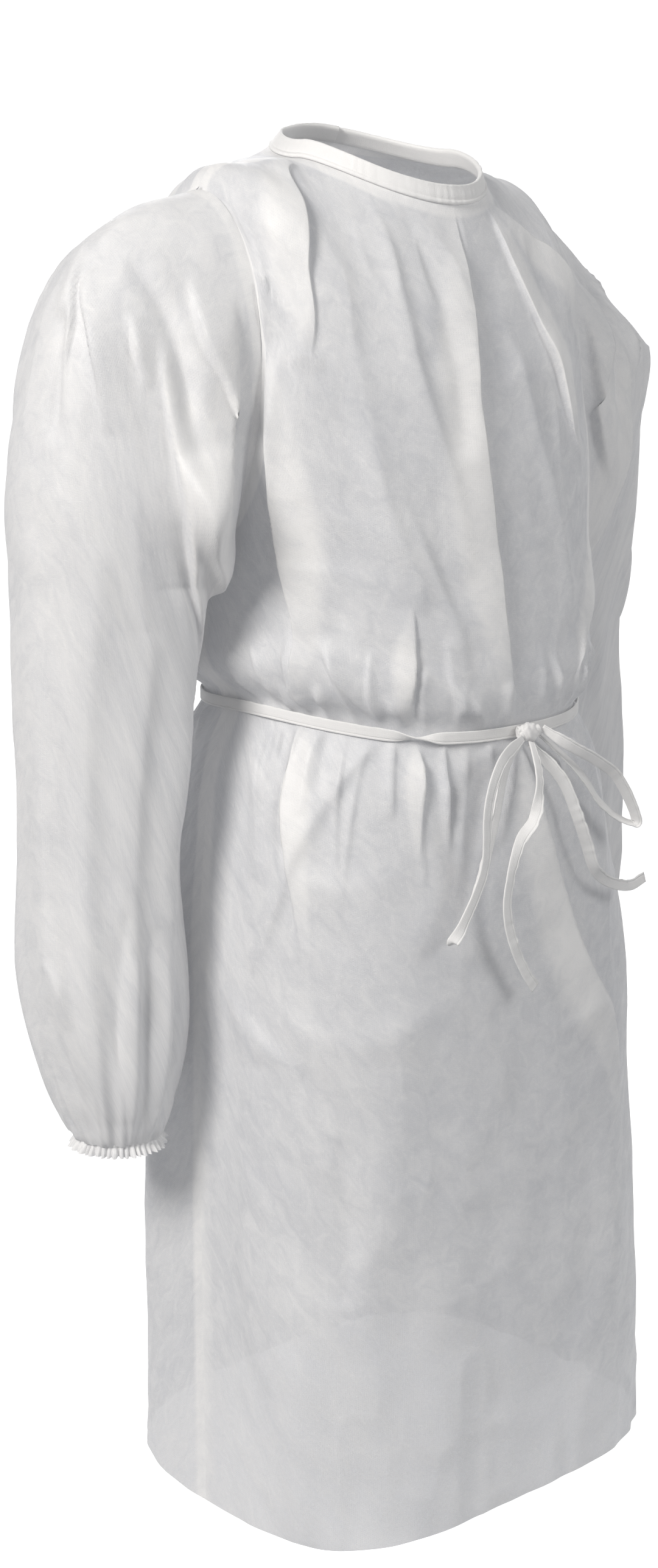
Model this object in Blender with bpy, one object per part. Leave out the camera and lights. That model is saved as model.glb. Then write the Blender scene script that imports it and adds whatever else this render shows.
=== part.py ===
"""A long-sleeved isolation gown in its worn form, as the pieces a maker cuts and sews.

Metres, +Z up. The wearer faces -Y, so the wearer's right arm is at -X.
The origin is the middle of the neck opening, level with the sides of the neck.
"""

import bpy
import numpy as np

for old in list(bpy.data.objects):
    bpy.data.objects.remove(old, do_unlink=True)

WALL = 0.0016  # thickness of each panel
HALF_GAP = 0.0003  # each piece stops this far short of a seam
UP = np.array([0.0, 0.0, 1.0])

# Levels down the body, used as the first column of TORSO.
NECK, TIP, UNDERARM, WAIST = 0.0, 1.0, 2.0, 3.0

# One row for each level: where the section crosses the centre front, the centre back
# and the side, and how square its front and back are (2 is an ellipse).
TORSO_COLUMNS = (
    "level", "front_y", "front_z", "front_square",
    "back_y", "back_z", "back_square", "side_x", "side_y", "side_z",
)
TORSO = (
    (0.00, -0.0710, -0.024, 2.00, 0.0960, 0.033, 2.0, 0.0830, 0.013, 0.011),
    (0.50, -0.0920, -0.084, 2.20, 0.1080, 0.002, 2.3, 0.1260, 0.022, 0.001),
    (1.00, -0.1090, -0.150, 2.50, 0.1200, -0.060, 2.6, 0.1640, 0.030, -0.014),
    (1.50, -0.1230, -0.225, 2.60, 0.1320, -0.160, 2.7, 0.1760, 0.036, -0.160),
    (2.00, -0.1330, -0.300, 2.70, 0.1320, -0.265, 2.8, 0.1680, 0.036, -0.275),
    (2.50, -0.1400, -0.350, 2.70, 0.1260, -0.328, 2.7, 0.1650, 0.032, -0.326),
    (2.85, -0.1430, -0.392, 2.60, 0.1210, -0.370, 2.6, 0.1630, 0.026, -0.370),
    (2.96, -0.1400, -0.408, 2.55, 0.1080, -0.386, 2.5, 0.1480, 0.020, -0.389),
    (3.00, -0.1395, -0.415, 2.55, 0.1070, -0.393, 2.5, 0.1470, 0.020, -0.396),
    (3.04, -0.1400, -0.422, 2.55, 0.1080, -0.400, 2.5, 0.1480, 0.020, -0.403),
    (3.14, -0.1470, -0.456, 2.60, 0.1200, -0.434, 2.5, 0.1660, 0.018, -0.440),
    (3.30, -0.1570, -0.540, 2.80, 0.1340, -0.525, 2.7, 0.1810, 0.014, -0.528),
    (3.60, -0.1660, -0.740, 3.20, 0.1450, -0.725, 2.9, 0.1930, 0.004, -0.730),
    (4.00, -0.1700, -1.035, 3.60, 0.1500, -1.020, 3.0, 0.2020, -0.008, -1.032),
)

ARMHOLE_CUT = 28.0  # degrees by which the widest part of the armhole cuts into a section

# One row for each fold of the body: the angle round it (0 is the centre front, positive
# to the wearer's left) and the level at both ends, half its width, how far it stands
# out (less than 0 is a trough), and how much steeper its positive side is.
FOLD_COLUMNS = ("start", "from_level", "end", "to_level", "half_width", "height", "skew")
BODY_FOLDS = (
    ("centre crease", -3, 0.35, 2, 3.30, 0.016, 0.0060, 2.2),
    ("centre crease, skirt", 2, 3.05, 22, 3.60, 0.016, 0.0050, 1.0),
    ("yoke fold, right", -78, 0.25, -60, 1.30, 0.015, 0.0070, 1.0),
    ("yoke fold, left", 19, 0.15, 50, 1.90, 0.016, 0.0060, 1.0),
    ("front flange, right", -83, 1.50, -68, 3.20, 0.014, 0.0090, 0.5),
    ("armpit hollow, right", -72, 1.35, -78, 2.40, 0.014, -0.0060, 1.0),
    ("side flange, left", 68, 0.90, 52, 2.95, 0.016, 0.0110, 1.5),
    ("short fold below belt", -30, 1.90, -28, 3.25, 0.012, 0.0045, 1.0),
    ("gather 1, right", -86, 2.95, -80, 3.30, 0.010, 0.0055, 1.0),
    ("gather 2, right", -76, 2.95, -70, 3.26, 0.010, 0.0055, 1.0),
    ("gather 3, right", -64, 2.95, -58, 3.24, 0.010, 0.0050, 1.0),
    ("gather 1, left", 62, 2.95, 66, 3.28, 0.010, 0.0050, 1.0),
    ("gather 2, left", 78, 2.95, 80, 3.28, 0.010, 0.0050, 1.0),
    ("diagonal below belt", -42, 3.00, -60, 3.26, 0.012, 0.0050, 1.0),
    ("skirt corner, right", -66, 3.45, -62, 3.98, 0.026, 0.0050, 1.0),
    ("skirt corner, left", 62, 3.30, 60, 3.98, 0.026, 0.0050, 1.0),
    ("back fold 1", 118, 0.70, 112, 3.50, 0.018, 0.0070, 1.0),
    ("back fold 2", 140, 2.40, 138, 3.60, 0.016, 0.0060, 1.0),
    ("back fold 3", 242, 0.70, 248, 3.50, 0.018, 0.0070, 1.0),
    ("back fold 4", 222, 2.40, 224, 3.60, 0.016, 0.0060, 1.0),
)

# One row for each section of a sleeve, from the armhole to the wrist: the middle of the
# section out from and behind the body's axis, its half sizes, and the heights of its
# outer and inner sides.
SLEEVE_COLUMNS = ("along", "out", "behind", "half_out", "half_deep", "outer_z", "inner_z")
SLEEVE = (
    (0.00, 0.1655, 0.032, -0.0015, 0.0740, -0.014, -0.275),
    (0.06, 0.1925, 0.036, 0.0195, 0.0770, -0.029, -0.292),
    (0.12, 0.2135, 0.040, 0.0400, 0.0785, -0.053, -0.310),
    (0.18, 0.2310, 0.042, 0.0540, 0.0780, -0.092, -0.326),
    (0.25, 0.2405, 0.044, 0.0620, 0.0750, -0.148, -0.338),
    (0.33, 0.2450, 0.047, 0.0680, 0.0730, -0.215, -0.350),
    (0.43, 0.2460, 0.050, 0.0670, 0.0680, -0.305, -0.374),
    (0.55, 0.2490, 0.052, 0.0620, 0.0620, -0.400, -0.424),
    (0.68, 0.2510, 0.051, 0.0590, 0.0600, -0.500, -0.507),
    (0.80, 0.2515, 0.047, 0.0625, 0.0635, -0.600, -0.600),
    (0.90, 0.2510, 0.038, 0.0530, 0.0540, -0.668, -0.666),
    (0.96, 0.2520, 0.034, 0.0400, 0.0415, -0.706, -0.704),
    (1.00, 0.2525, 0.032, 0.0325, 0.0335, -0.720, -0.720),
)

LEFT_ARM_BACK = 0.015  # the left arm hangs this much further back than the right

# Folds of a sleeve. The angle is 0 along the outside of the arm, 90 at its front and
# 180 along its inside.
SLEEVE_FOLDS = (
    ("cap fold, front", 66, 0.03, 96, 0.24, 0.018, 0.0060, 1.0),
    ("front overhang", 100, 0.22, 112, 0.50, 0.022, 0.0230, 1.0),
    ("valley beside it", 48, 0.04, 84, 0.40, 0.014, -0.0070, 1.0),
    ("cap ridge", 20, 0.03, 28, 0.40, 0.012, 0.0050, 1.0),
    ("cap valley", 38, 0.05, 46, 0.36, 0.012, -0.0050, 1.0),
    ("forearm front", 80, 0.45, 70, 0.93, 0.016, 0.0045, 1.0),
    ("forearm outside", 10, 0.55, 20, 0.93, 0.016, 0.0035, 1.0),
    ("back ridge", 250, 0.05, 235, 0.60, 0.018, 0.0080, 1.0),
    ("back valley", 285, 0.05, 280, 0.50, 0.014, -0.0050, 1.0),
    ("forearm back", 265, 0.60, 280, 0.93, 0.016, 0.0045, 1.0),
)
LEFT_SLEEVE_FOLDS = (
    ("sunken cap", 30, 0.04, 40, 0.17, 0.040, -0.0150, 1.0),
    ("outer corner", 44, 0.14, 44, 0.46, 0.034, 0.0150, 1.0),
    ("forearm corner", 42, 0.46, 44, 0.84, 0.034, 0.0110, 1.0),
)


def finish(name, colour, roughness):
    """A matte cloth finish."""
    material = bpy.data.materials.new(name)
    material.use_nodes = True
    shader = material.node_tree.nodes["Principled BSDF"]
    shader.inputs["Base Color"].default_value = (*colour, 1.0)
    shader.inputs["Roughness"].default_value = roughness
    shader.inputs["Metallic"].default_value = 0.0
    return material


PANEL_CLOTH = finish("panel_cloth", (0.80, 0.80, 0.81), 0.70)
TAPE_CLOTH = finish("tape_cloth", (0.84, 0.84, 0.85), 0.65)


def smooth_columns(table, at):
    """Every column after the first of a table, read at the places asked for."""
    rows = np.array([[value for value in row if not isinstance(value, str)] for row in table])
    keys, values = rows[:, 0], rows[:, 1:]
    slopes = np.gradient(values, keys, axis=0)
    at = np.clip(np.asarray(at, float), keys[0], keys[-1])
    low = np.clip(np.searchsorted(keys, at, side="right") - 1, 0, len(keys) - 2)
    span = keys[low + 1] - keys[low]
    t = ((at - keys[low]) / span)[..., None]
    span = span[..., None]
    start = values[low] * (1 + 2 * t) * (1 - t) ** 2 + slopes[low] * span * t * (1 - t) ** 2
    end = values[low + 1] * t * t * (3 - 2 * t) - slopes[low + 1] * span * t * t * (1 - t)
    return np.moveaxis(start + end, -1, 0)


def ease(value, start, end):
    t = np.clip((value - start) / (end - start), 0.0, 1.0)
    return t * t * (3 - 2 * t)


def unit(vectors):
    return vectors / np.maximum(np.linalg.norm(vectors, axis=-1, keepdims=True), 1e-12)


def fold_height(folds, angle, level, radius):
    """How far the folds move the cloth out, at each angle in degrees and each level."""
    total = np.zeros(np.broadcast(angle, level).shape)
    for _, start, from_level, end, to_level, half_width, height, skew in folds:
        along = np.clip((level - from_level) / (to_level - from_level), 0.0, 1.0)
        away = angle - (start + (end - start) * along)
        away = (away + 180.0) % 360.0 - 180.0
        width = np.degrees(half_width / radius) * np.where(away > 0, skew ** -0.5, skew ** 0.5)
        fade = ease(level, from_level - 0.04, from_level + 0.25 * (to_level - from_level))
        fade = fade * ease(level, to_level + 0.04, to_level - 0.25 * (to_level - from_level))
        total = total + height * fade * np.exp(-((away / width) ** 2))
    return total


def power(value, square):
    return np.abs(value) ** (2.0 / square)


def armhole(angle):
    """The seam round the arm: 0 is the shoulder tip, 90 the front and 180 the underarm."""
    out, behind, half_out, half_deep, outer_z, inner_z = smooth_columns(SLEEVE, np.zeros_like(angle))
    turn = np.radians(angle)
    lower = (1 - np.cos(turn)) / 2
    x = out + half_out * np.cos(turn)
    y = behind - half_deep * np.sin(turn)
    return x, y, outer_z + (inner_z - outer_z) * lower


def section(turn, sizes, square):
    """A point of one section, at an angle from its middle, with the sides at 90 degrees."""
    middle_y, middle_z, side_x, side_y, side_z = sizes
    across, toward = np.sin(turn), np.cos(turn)
    x = side_x * np.sign(across) * power(across, square)
    y = side_y + (middle_y - side_y) * power(toward, square)
    z = side_z + (middle_z - side_z) * np.abs(toward) ** 1.5
    return np.stack([x, y, z], axis=-1)


def torso(angle, level, behind):
    """Points of the body at angles in degrees (0 front, 90 wearer's left) and levels."""
    columns = smooth_columns(TORSO, level)
    front_y, front_z, front_square, back_y, back_z, back_square, side_x, side_y, side_z = columns
    if behind:
        middle_y, middle_z, square, local = back_y, back_z, back_square, 180.0 - angle
    else:
        middle_y, middle_z, square, local = front_y, front_z, front_square, angle
    sizes = (middle_y, middle_z, side_x, side_y, side_z)
    # At the armhole the section stops short of its side, and its end is drawn to the seam.
    round_arm = np.clip(level - TIP, 0.0, 1.0)
    cut = ARMHOLE_CUT * np.sin(np.pi * round_arm)
    end = np.radians(90.0 - cut)
    points = section(np.radians(local - cut * (local / 90.0) ** 3), sizes, square)
    seam_x, seam_y, seam_z = armhole(180.0 * round_arm * (-1.0 if behind else 1.0))
    side = np.sign(local)
    seam = np.stack([side * seam_x, seam_y, seam_z], axis=-1)
    miss = (seam - section(end * side, sizes, square)) * (np.abs(local) / 90.0)[..., None] ** 3
    on_armhole = (level >= TIP) & (level <= UNDERARM)
    return points + np.where(on_armhole[..., None], miss, 0.0)


def normals_of(points, wraps=False):
    """Outward normals of a grid whose rows go down and whose columns go round."""
    if wraps:
        across = np.roll(points, -1, axis=1) - np.roll(points, 1, axis=1)
    else:
        across = np.gradient(points, axis=1)
    return unit(np.cross(np.gradient(points, axis=0), across))


def folded_torso(angles, levels, behind=False):
    """A grid of the body with its folds, and the normals of that grid."""
    angle, level = np.meshgrid(angles, levels)
    plain = torso(angle, level, behind)
    normals = normals_of(plain)
    reach = np.hypot(plain[..., 0], plain[..., 1])
    height = fold_height(BODY_FOLDS, angle, level, reach)
    height = height * ease(level, 0.0, 0.3)
    near_seam = np.minimum(np.abs(angles - angles[0]), np.abs(angles - angles[-1]))
    near_belt = ease(np.abs(level - WAIST), 0.03, 0.10)
    height = height * near_belt
    seam_hold = ease(near_seam, 0.0, 12.0)[None, :]
    folded = plain + normals * (height * seam_hold)[..., None]
    return folded, normals_of(folded)


def sleeve(angles, along, folds, back=0.0):
    """A sleeve on the wearer's right, as a grid from the armhole down to the wrist.

    The arm hangs further back by the last distance, from the elbow down.
    """
    angle, place = np.meshgrid(angles, along)
    out, behind, half_out, half_deep, outer_z, inner_z = smooth_columns(SLEEVE, place)
    turn = np.radians(angle)
    x = -(out + half_out * np.cos(turn))
    y = behind - half_deep * np.sin(turn) + back * ease(place, 0.10, 0.45)
    z = outer_z + (inner_z - outer_z) * (1 - np.cos(turn)) / 2
    plain = np.stack([x, y, z], axis=-1)
    normals = normals_of(plain, wraps=True)
    height = fold_height(folds, angle, place, (half_out + half_deep) / 2)
    height = height * ease(place, 0.0, 0.10) * ease(place, 1.0, 0.93)
    folded = plain + normals * height[..., None]
    return folded, normals_of(folded, wraps=True)


def add_piece(name, points, faces, material):
    mesh = bpy.data.meshes.new(name)
    mesh.from_pydata(points.tolist(), [], faces)
    mesh.materials.append(material)
    mesh.update()
    mesh.shade_smooth()
    mesh.set_sharp_from_angle(angle=np.radians(50.0))
    bpy.context.scene.collection.objects.link(bpy.data.objects.new(name, mesh))


def wall(name, outer, inner, material, wraps=False):
    """A closed piece between two grids of the same size, split into triangles alike."""
    rows, columns = outer.shape[:2]
    points = np.concatenate([outer.reshape(-1, 3), inner.reshape(-1, 3)])
    faces = []

    def at(row, column, side):
        return side * rows * columns + row * columns + column % columns

    def split(a, b, c, d):
        """The quad a, b, c, d as two triangles across its shorter diagonal."""
        if np.linalg.norm(points[a] - points[c]) <= np.linalg.norm(points[b] - points[d]):
            return [(a, b, c), (a, c, d)]
        return [(a, b, d), (b, c, d)]

    steps = range(columns if wraps else columns - 1)
    for row in range(rows - 1):
        for column in steps:
            corners = [(row, column), (row + 1, column), (row + 1, column + 1), (row, column + 1)]
            triangles = split(*(at(r, c, 0) for r, c in corners))
            faces += triangles
            faces += [tuple(index + rows * columns for index in reversed(face)) for face in triangles]
    edges = [[(0, column) for column in [*steps, steps[-1] + 1]]]
    edges.append([(rows - 1, column) for column in reversed([*steps, steps[-1] + 1])])
    if not wraps:
        edges.append([(row, 0) for row in reversed(range(rows))])
        edges.append([(row, columns - 1) for row in range(rows)])
    for edge in edges:
        for (row, column), (next_row, next_column) in zip(edge, edge[1:]):
            faces += split(
                at(row, column, 0), at(next_row, next_column, 0),
                at(next_row, next_column, 1), at(row, column, 1),
            )
    add_piece(name, points, faces, material)


def seam_frame(points, first_normals, second_normals, toward_second, wraps=False):
    """Along a seam: the shared normal, and the direction across it to the second piece."""
    if wraps:
        tangent = unit(np.roll(points, -1, axis=0) - np.roll(points, 1, axis=0))
    else:
        tangent = unit(np.gradient(points, axis=0))
    shared = unit(first_normals + second_normals)
    shared = unit(shared - tangent * np.sum(shared * tangent, axis=-1, keepdims=True))
    across = np.cross(tangent, shared)
    sign = np.sign(np.sum(across * toward_second, axis=-1, keepdims=True))
    return shared, across * np.where(sign == 0, 1.0, sign)


# Levels of the grid's rows. The armhole rows fall on the sleeve's columns.
SLEEVE_SIDES = 20
ARM_ROWS = SLEEVE_SIDES // 2
LEVELS = np.concatenate([
    np.array([0.0, 0.2, 0.45, 0.72]),
    TIP + np.arange(ARM_ROWS + 1) / ARM_ROWS,
    np.array([2.25, 2.5, 2.7, 2.85, 2.92, 2.96, 3.04, 3.10, 3.18, 3.28, 3.42, 3.62, 3.82, 4.0]),
])
TIP_ROW = int(np.argmin(np.abs(LEVELS - TIP)))
UNDER_ROW = int(np.argmin(np.abs(LEVELS - UNDERARM)))
FRONT_ANGLES = np.linspace(-90.0, 90.0, 31)
OVERLAP_ANGLE = 17.0  # how far each back panel goes past the centre back
BACK_LEFT_ANGLES = np.linspace(90.0, 180.0 + OVERLAP_ANGLE, 15)
BACK_RIGHT_ANGLES = np.linspace(180.0 - OVERLAP_ANGLE, 270.0, 15)
LAP_DEPTH = 0.0036  # how far the lower back panel lies under the upper one
SLEEVE_ANGLES = np.arange(SLEEVE_SIDES) * 360.0 / SLEEVE_SIDES
SLEEVE_STEPS = np.array([
    0.0, 0.04, 0.08, 0.13, 0.18, 0.24, 0.31, 0.38, 0.46, 0.54, 0.62, 0.70, 0.78, 0.85, 0.91, 0.95, 0.98, 1.0,
])

front, front_normals = folded_torso(FRONT_ANGLES, LEVELS)
back_left, back_left_normals = folded_torso(BACK_LEFT_ANGLES, LEVELS, behind=True)
back_right, back_right_normals = folded_torso(BACK_RIGHT_ANGLES, LEVELS, behind=True)
lap = LAP_DEPTH * ease(BACK_RIGHT_ANGLES, 180.0 + OVERLAP_ANGLE + 26.0, 180.0 + OVERLAP_ANGLE + 4.0)
back_right = back_right - back_right_normals * lap[None, :, None]

sleeve_right, sleeve_right_normals = sleeve(SLEEVE_ANGLES, SLEEVE_STEPS, SLEEVE_FOLDS)
mirror = np.array([-1.0, 1.0, 1.0])
turned_columns = (-np.arange(SLEEVE_SIDES)) % SLEEVE_SIDES
sleeve_left, sleeve_left_normals = sleeve(
    SLEEVE_ANGLES, SLEEVE_STEPS, SLEEVE_FOLDS + LEFT_SLEEVE_FOLDS, LEFT_ARM_BACK,
)
sleeve_left = sleeve_left[:, turned_columns] * mirror
sleeve_left_normals = sleeve_left_normals[:, turned_columns] * mirror

pieces = {
    "front": [front, front_normals],
    "back_left": [back_left, back_left_normals],
    "back_right": [back_right, back_right_normals],
    "sleeve_right": [sleeve_right, sleeve_right_normals],
    "sleeve_left": [sleeve_left, sleeve_left_normals],
}
shifts = {name: np.zeros_like(grid) for name, (grid, _) in pieces.items()}


def join_side(front_column, back_name, back_column):
    """Opens the shoulder and side seams between the front and one back panel."""
    back, back_normals = pieces[back_name]
    for rows in (slice(0, TIP_ROW + 1), slice(UNDER_ROW, len(LEVELS))):
        seam = front[rows, front_column]
        normal, across = seam_frame(
            seam, front_normals[rows, front_column], back_normals[rows, back_column],
            np.array([0.0, 1.0, 0.0]),
        )
        shifts["front"][rows, front_column] -= across * HALF_GAP
        shifts[back_name][rows, back_column] += across * HALF_GAP
        front_normals[rows, front_column] = normal
        back_normals[rows, back_column] = normal


def join_armhole(front_column, back_name, back_column, sleeve_name):
    """Opens the seam between a sleeve and the two panels round it."""
    arm, arm_normals = pieces[sleeve_name]
    back_normals = pieces[back_name][1]
    half = np.arange(ARM_ROWS + 1)
    sides = {"front": half, back_name: (-half) % SLEEVE_SIDES}
    if sleeve_name == "sleeve_left":
        sides = {"front": (-half) % SLEEVE_SIDES, back_name: half}
    rows = slice(TIP_ROW, UNDER_ROW + 1)
    panel_normals = np.zeros((SLEEVE_SIDES, 3))
    panel_normals[sides["front"]] += front_normals[rows, front_column]
    panel_normals[sides[back_name]] += back_normals[rows, back_column]
    shared, across = seam_frame(
        arm[0], unit(panel_normals), arm_normals[0], arm[1] - arm[0], wraps=True
    )
    shifts[sleeve_name][0] += across * HALF_GAP
    arm_normals[0] = shared
    for name, column in (("front", front_column), (back_name, back_column)):
        shifts[name][rows, column] -= across[sides[name]] * HALF_GAP
        pieces[name][1][rows, column] = shared[sides[name]]


join_side(-1, "back_left", 0)
join_side(0, "back_right", -1)
join_armhole(-1, "back_left", 0, "sleeve_left")
join_armhole(0, "back_right", -1, "sleeve_right")

# The panels stop short of the neck binding, which stands on their edge.
for name in ("front", "back_left", "back_right"):
    grid, normals = pieces[name]
    shifts[name][0] += unit(grid[1] - grid[0]) * HALF_GAP * 3

for name, (grid, normals) in pieces.items():
    outer = grid + shifts[name]
    wall(name, outer, outer - normals * WALL, PANEL_CLOTH, wraps=name.startswith("sleeve"))


def round_body(angles, level):
    """One section of the plain body, all the way round, and its outward directions."""
    turned = (angles + 180.0) % 360.0 - 180.0
    levels = np.full(len(angles), level)
    is_front = (np.abs(turned) <= 90.0)[:, None]
    line = np.where(is_front, torso(turned, levels, False), torso(turned % 360.0, levels, True))
    ahead = (turned + 1.0 + 180.0) % 360.0 - 180.0
    is_front = (np.abs(ahead) <= 90.0)[:, None]
    next_line = np.where(is_front, torso(ahead, levels, False), torso(ahead % 360.0, levels, True))
    return line, unit(np.cross(next_line - line, UP))


def band(line, outward, lean, profile, thickness):
    """An upright strip on a line, leaning inward by an angle: its outer and inner grids.

    Each row of the profile is a height up the strip and how far out its face stands.
    """
    lean = np.radians(lean)[:, None]
    rise = UP * np.cos(lean) - outward * np.sin(lean)
    out = outward * np.cos(lean) + UP * np.sin(lean)
    outer = np.stack([line + rise * height + out * face for height, face in reversed(profile)])
    return outer, outer - out * thickness


# Neck binding: a folded strip whose ends lap at the back with the panels. It stands up
# at the front and leans in over the shoulders and the back.
BINDING_WALL = 0.0022
BINDING_PROFILE = ((0.0006, 0.0006), (0.0030, 0.0010), (0.0120, 0.0010), (0.0150, 0.0004))
BINDING_ANGLES = np.linspace(-180.0 - OVERLAP_ANGLE, 180.0 + OVERLAP_ANGLE, 41)
neck_line, neck_out = round_body(BINDING_ANGLES, NECK)
under = LAP_DEPTH * ease(BINDING_ANGLES, -180.0 + OVERLAP_ANGLE + 26.0, -180.0 + OVERLAP_ANGLE + 4.0)
neck_line = neck_line - neck_out * under[:, None]
binding_lean = 12.0 + 34.0 * (1 - np.cos(np.radians(BINDING_ANGLES))) / 2
binding = band(neck_line, neck_out, binding_lean, BINDING_PROFILE, BINDING_WALL)
wall("neck_binding", *binding, TAPE_CLOTH)

# Cuff: a narrow channel over elastic, and the frill below it.
FRILL_WAVES = 20
FRILL_SIDES = FRILL_WAVES * 3
FRILL_WALL = 0.0010
# Each row is a drop below the sleeve's end, how far out the face stands and the waves.
FRILL_ROWS = ((0.0008, 0.0000, 0.0006), (0.0034, 0.0002, 0.0010), (0.0092, 0.0034, 0.0024))
frill_turn = np.arange(FRILL_SIDES) * 2 * np.pi / FRILL_SIDES
waves = np.cos(frill_turn * FRILL_WAVES)
wrist = smooth_columns(SLEEVE, np.ones(1))[:, 0]
outward = np.stack([-np.cos(frill_turn), -np.sin(frill_turn), np.zeros(FRILL_SIDES)], axis=-1)
rings = []
for drop, out, wave in FRILL_ROWS:
    reach_out = wrist[2] + out + wave * waves
    reach_deep = wrist[3] + out + wave * waves
    middle = np.array([-wrist[0], wrist[1], (wrist[4] + wrist[5]) / 2 - drop])
    rings.append(middle + outward * np.stack([reach_out, reach_deep, 0 * waves], axis=-1))
frill = np.stack(rings)
inner_frill = frill - outward * FRILL_WALL
wall("cuff_right", frill, inner_frill, PANEL_CLOTH, wraps=True)
left = np.array([0.0, LEFT_ARM_BACK, 0.0])
left_frill = (frill * mirror + left)[:, ::-1]
inner_left_frill = (inner_frill * mirror + left)[:, ::-1]
wall("cuff_left", left_frill, inner_left_frill, PANEL_CLOTH, wraps=True)

# Belt: a folded strip round the waist, closed behind the knot.
BELT_PROFILE = ((-0.0047, 0.0032), (0.0047, 0.0032))
BELT_WALL = 0.0012
BELT_ANGLES = np.arange(-180.0, 180.0, 5.0)
waist_line, waist_out = round_body(BELT_ANGLES, WAIST)
upright = np.zeros(len(BELT_ANGLES))
wall("belt", *band(waist_line, waist_out, upright, BELT_PROFILE, BELT_WALL), TAPE_CLOTH, wraps=True)

# Bow: the belt's own ends, each as a strip along a line of points. A row gives the
# point and how far the strip's width is turned toward the viewer, in degrees.
STRIP_WIDTH = 0.0094
STRIP_COLUMNS = ("step", "x", "y", "z", "turn")
BOW_STRIPS = {
    "bow_loop_right": (
        (0, 0.0190, -0.1530, -0.4130, 30), (1, 0.0358, -0.1640, -0.4259, 30),
        (2, 0.0656, -0.1680, -0.4419, 40),
        (3, 0.0915, -0.1690, -0.4606, 50), (4, 0.1161, -0.1670, -0.4971, 70),
        (5, 0.1040, -0.1600, -0.4950, 50),
        (6, 0.0811, -0.1580, -0.4785, 35), (7, 0.0642, -0.1560, -0.4571, 30),
        (8, 0.0424, -0.1530, -0.4369, 40),
        (9, 0.0195, -0.1490, -0.4180, 40),
    ),
    "bow_loop_left": (
        (0, -0.0036, -0.1540, -0.4180, 20), (1, -0.0425, -0.1690, -0.4306, 10),
        (2, -0.0596, -0.1730, -0.4606, 0),
        (3, -0.0637, -0.1740, -0.5063, 0), (4, -0.0847, -0.1740, -0.5443, 10),
        (5, -0.0936, -0.1710, -0.5581, 60),
        (6, -0.0794, -0.1670, -0.5511, 20), (7, -0.0583, -0.1650, -0.5167, 0),
        (8, -0.0432, -0.1640, -0.4739, 0),
        (9, -0.0291, -0.1610, -0.4377, 10), (10, -0.0010, -0.1495, -0.4232, 20),
    ),
    "bow_tail_middle": (
        (0, 0.0060, -0.1540, -0.4222, 10), (1, -0.0010, -0.1680, -0.4380, 0),
        (2, -0.0072, -0.1750, -0.4560, 0),
        (3, -0.0138, -0.1770, -0.4755, 60), (4, -0.0288, -0.1770, -0.4905, 30),
        (5, -0.0399, -0.1780, -0.5172, 0),
        (6, -0.0439, -0.1790, -0.5410, 0), (7, -0.0369, -0.1790, -0.5670, 0),
        (8, -0.0239, -0.1790, -0.5910, 0),
        (9, -0.0119, -0.1790, -0.6070, 0),
    ),
    "bow_tail_right": (
        (0, 0.0105, -0.1490, -0.4249, 30), (1, 0.0319, -0.1620, -0.4525, 35),
        (2, 0.0446, -0.1670, -0.4811, 40),
        (3, 0.0556, -0.1680, -0.5059, 45), (4, 0.0646, -0.1680, -0.5259, 50),
        (5, 0.0787, -0.1660, -0.5384, 30),
        (6, 0.0977, -0.1650, -0.5467, 10), (7, 0.1147, -0.1650, -0.5497, 0),
        (8, 0.1287, -0.1660, -0.5454, 0),
    ),
}


def strip(name, table):
    steps = np.linspace(0, len(table) - 1, 2 * len(table) - 1)
    x, y, z, turn = smooth_columns(table, steps)
    path = np.stack([x, y, z], axis=-1)
    along = unit(np.gradient(path, axis=0))
    viewer = np.array([0.0, -1.0, 0.0])
    flat = unit(np.cross(viewer, along))
    turn = np.radians(turn)[:, None]
    across = unit(flat * np.cos(turn) + np.cross(along, flat) * np.sin(turn))
    face = unit(np.cross(along, across))
    offsets = np.array([-0.5, 0.0, 0.5])[None, :, None] * STRIP_WIDTH
    middle = path[:, None] + across[:, None] * offsets
    half = face[:, None] * BELT_WALL / 2
    wall(name, middle + half, middle - half, TAPE_CLOTH)


for name, table in BOW_STRIPS.items():
    strip(name, table)

# Knot: the strips' turn round each other, as one rounded piece.
KNOT_MIDDLE = np.array([0.0075, -0.1494, -0.4150])
KNOT_HALF = np.array([0.0100, 0.0062, 0.0066])
KNOT_SIDES = 12
KNOT_ROUNDING = 0.7  # 1 is an egg, less is boxier
knot_tilts = np.radians(np.linspace(-90, 90, 7))[1:-1]
knot_turns = np.arange(KNOT_SIDES) * 2 * np.pi / KNOT_SIDES
tilt, turn = np.meshgrid(knot_tilts, knot_turns, indexing="ij")
rings = np.stack([np.cos(tilt) * np.cos(turn), np.cos(tilt) * np.sin(turn), np.sin(tilt)], axis=-1)
ball = np.concatenate([-UP[None], rings.reshape(-1, 3), UP[None]])
ball = np.sign(ball) * np.abs(ball) ** KNOT_ROUNDING
knot_faces = []
top_ring = 1 + (len(knot_tilts) - 1) * KNOT_SIDES
for side in range(KNOT_SIDES):
    after = (side + 1) % KNOT_SIDES
    knot_faces.append((0, 1 + after, 1 + side))
    for low in range(1, top_ring, KNOT_SIDES):
        knot_faces.append((low + side, low + after, low + KNOT_SIDES + after))
        knot_faces.append((low + side, low + KNOT_SIDES + after, low + KNOT_SIDES + side))
    knot_faces.append((top_ring + side, top_ring + after, len(ball) - 1))
add_piece("bow_knot", KNOT_MIDDLE + ball * KNOT_HALF, knot_faces, TAPE_CLOTH)
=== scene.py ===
"""A long-sleeved nonwoven isolation gown in its worn form, seen from its right front.

Metres, +Z up. The wearer faces -Y, so the wearer's right arm is at -X. The origin is the
middle of the neck opening.
"""

import math

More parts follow.
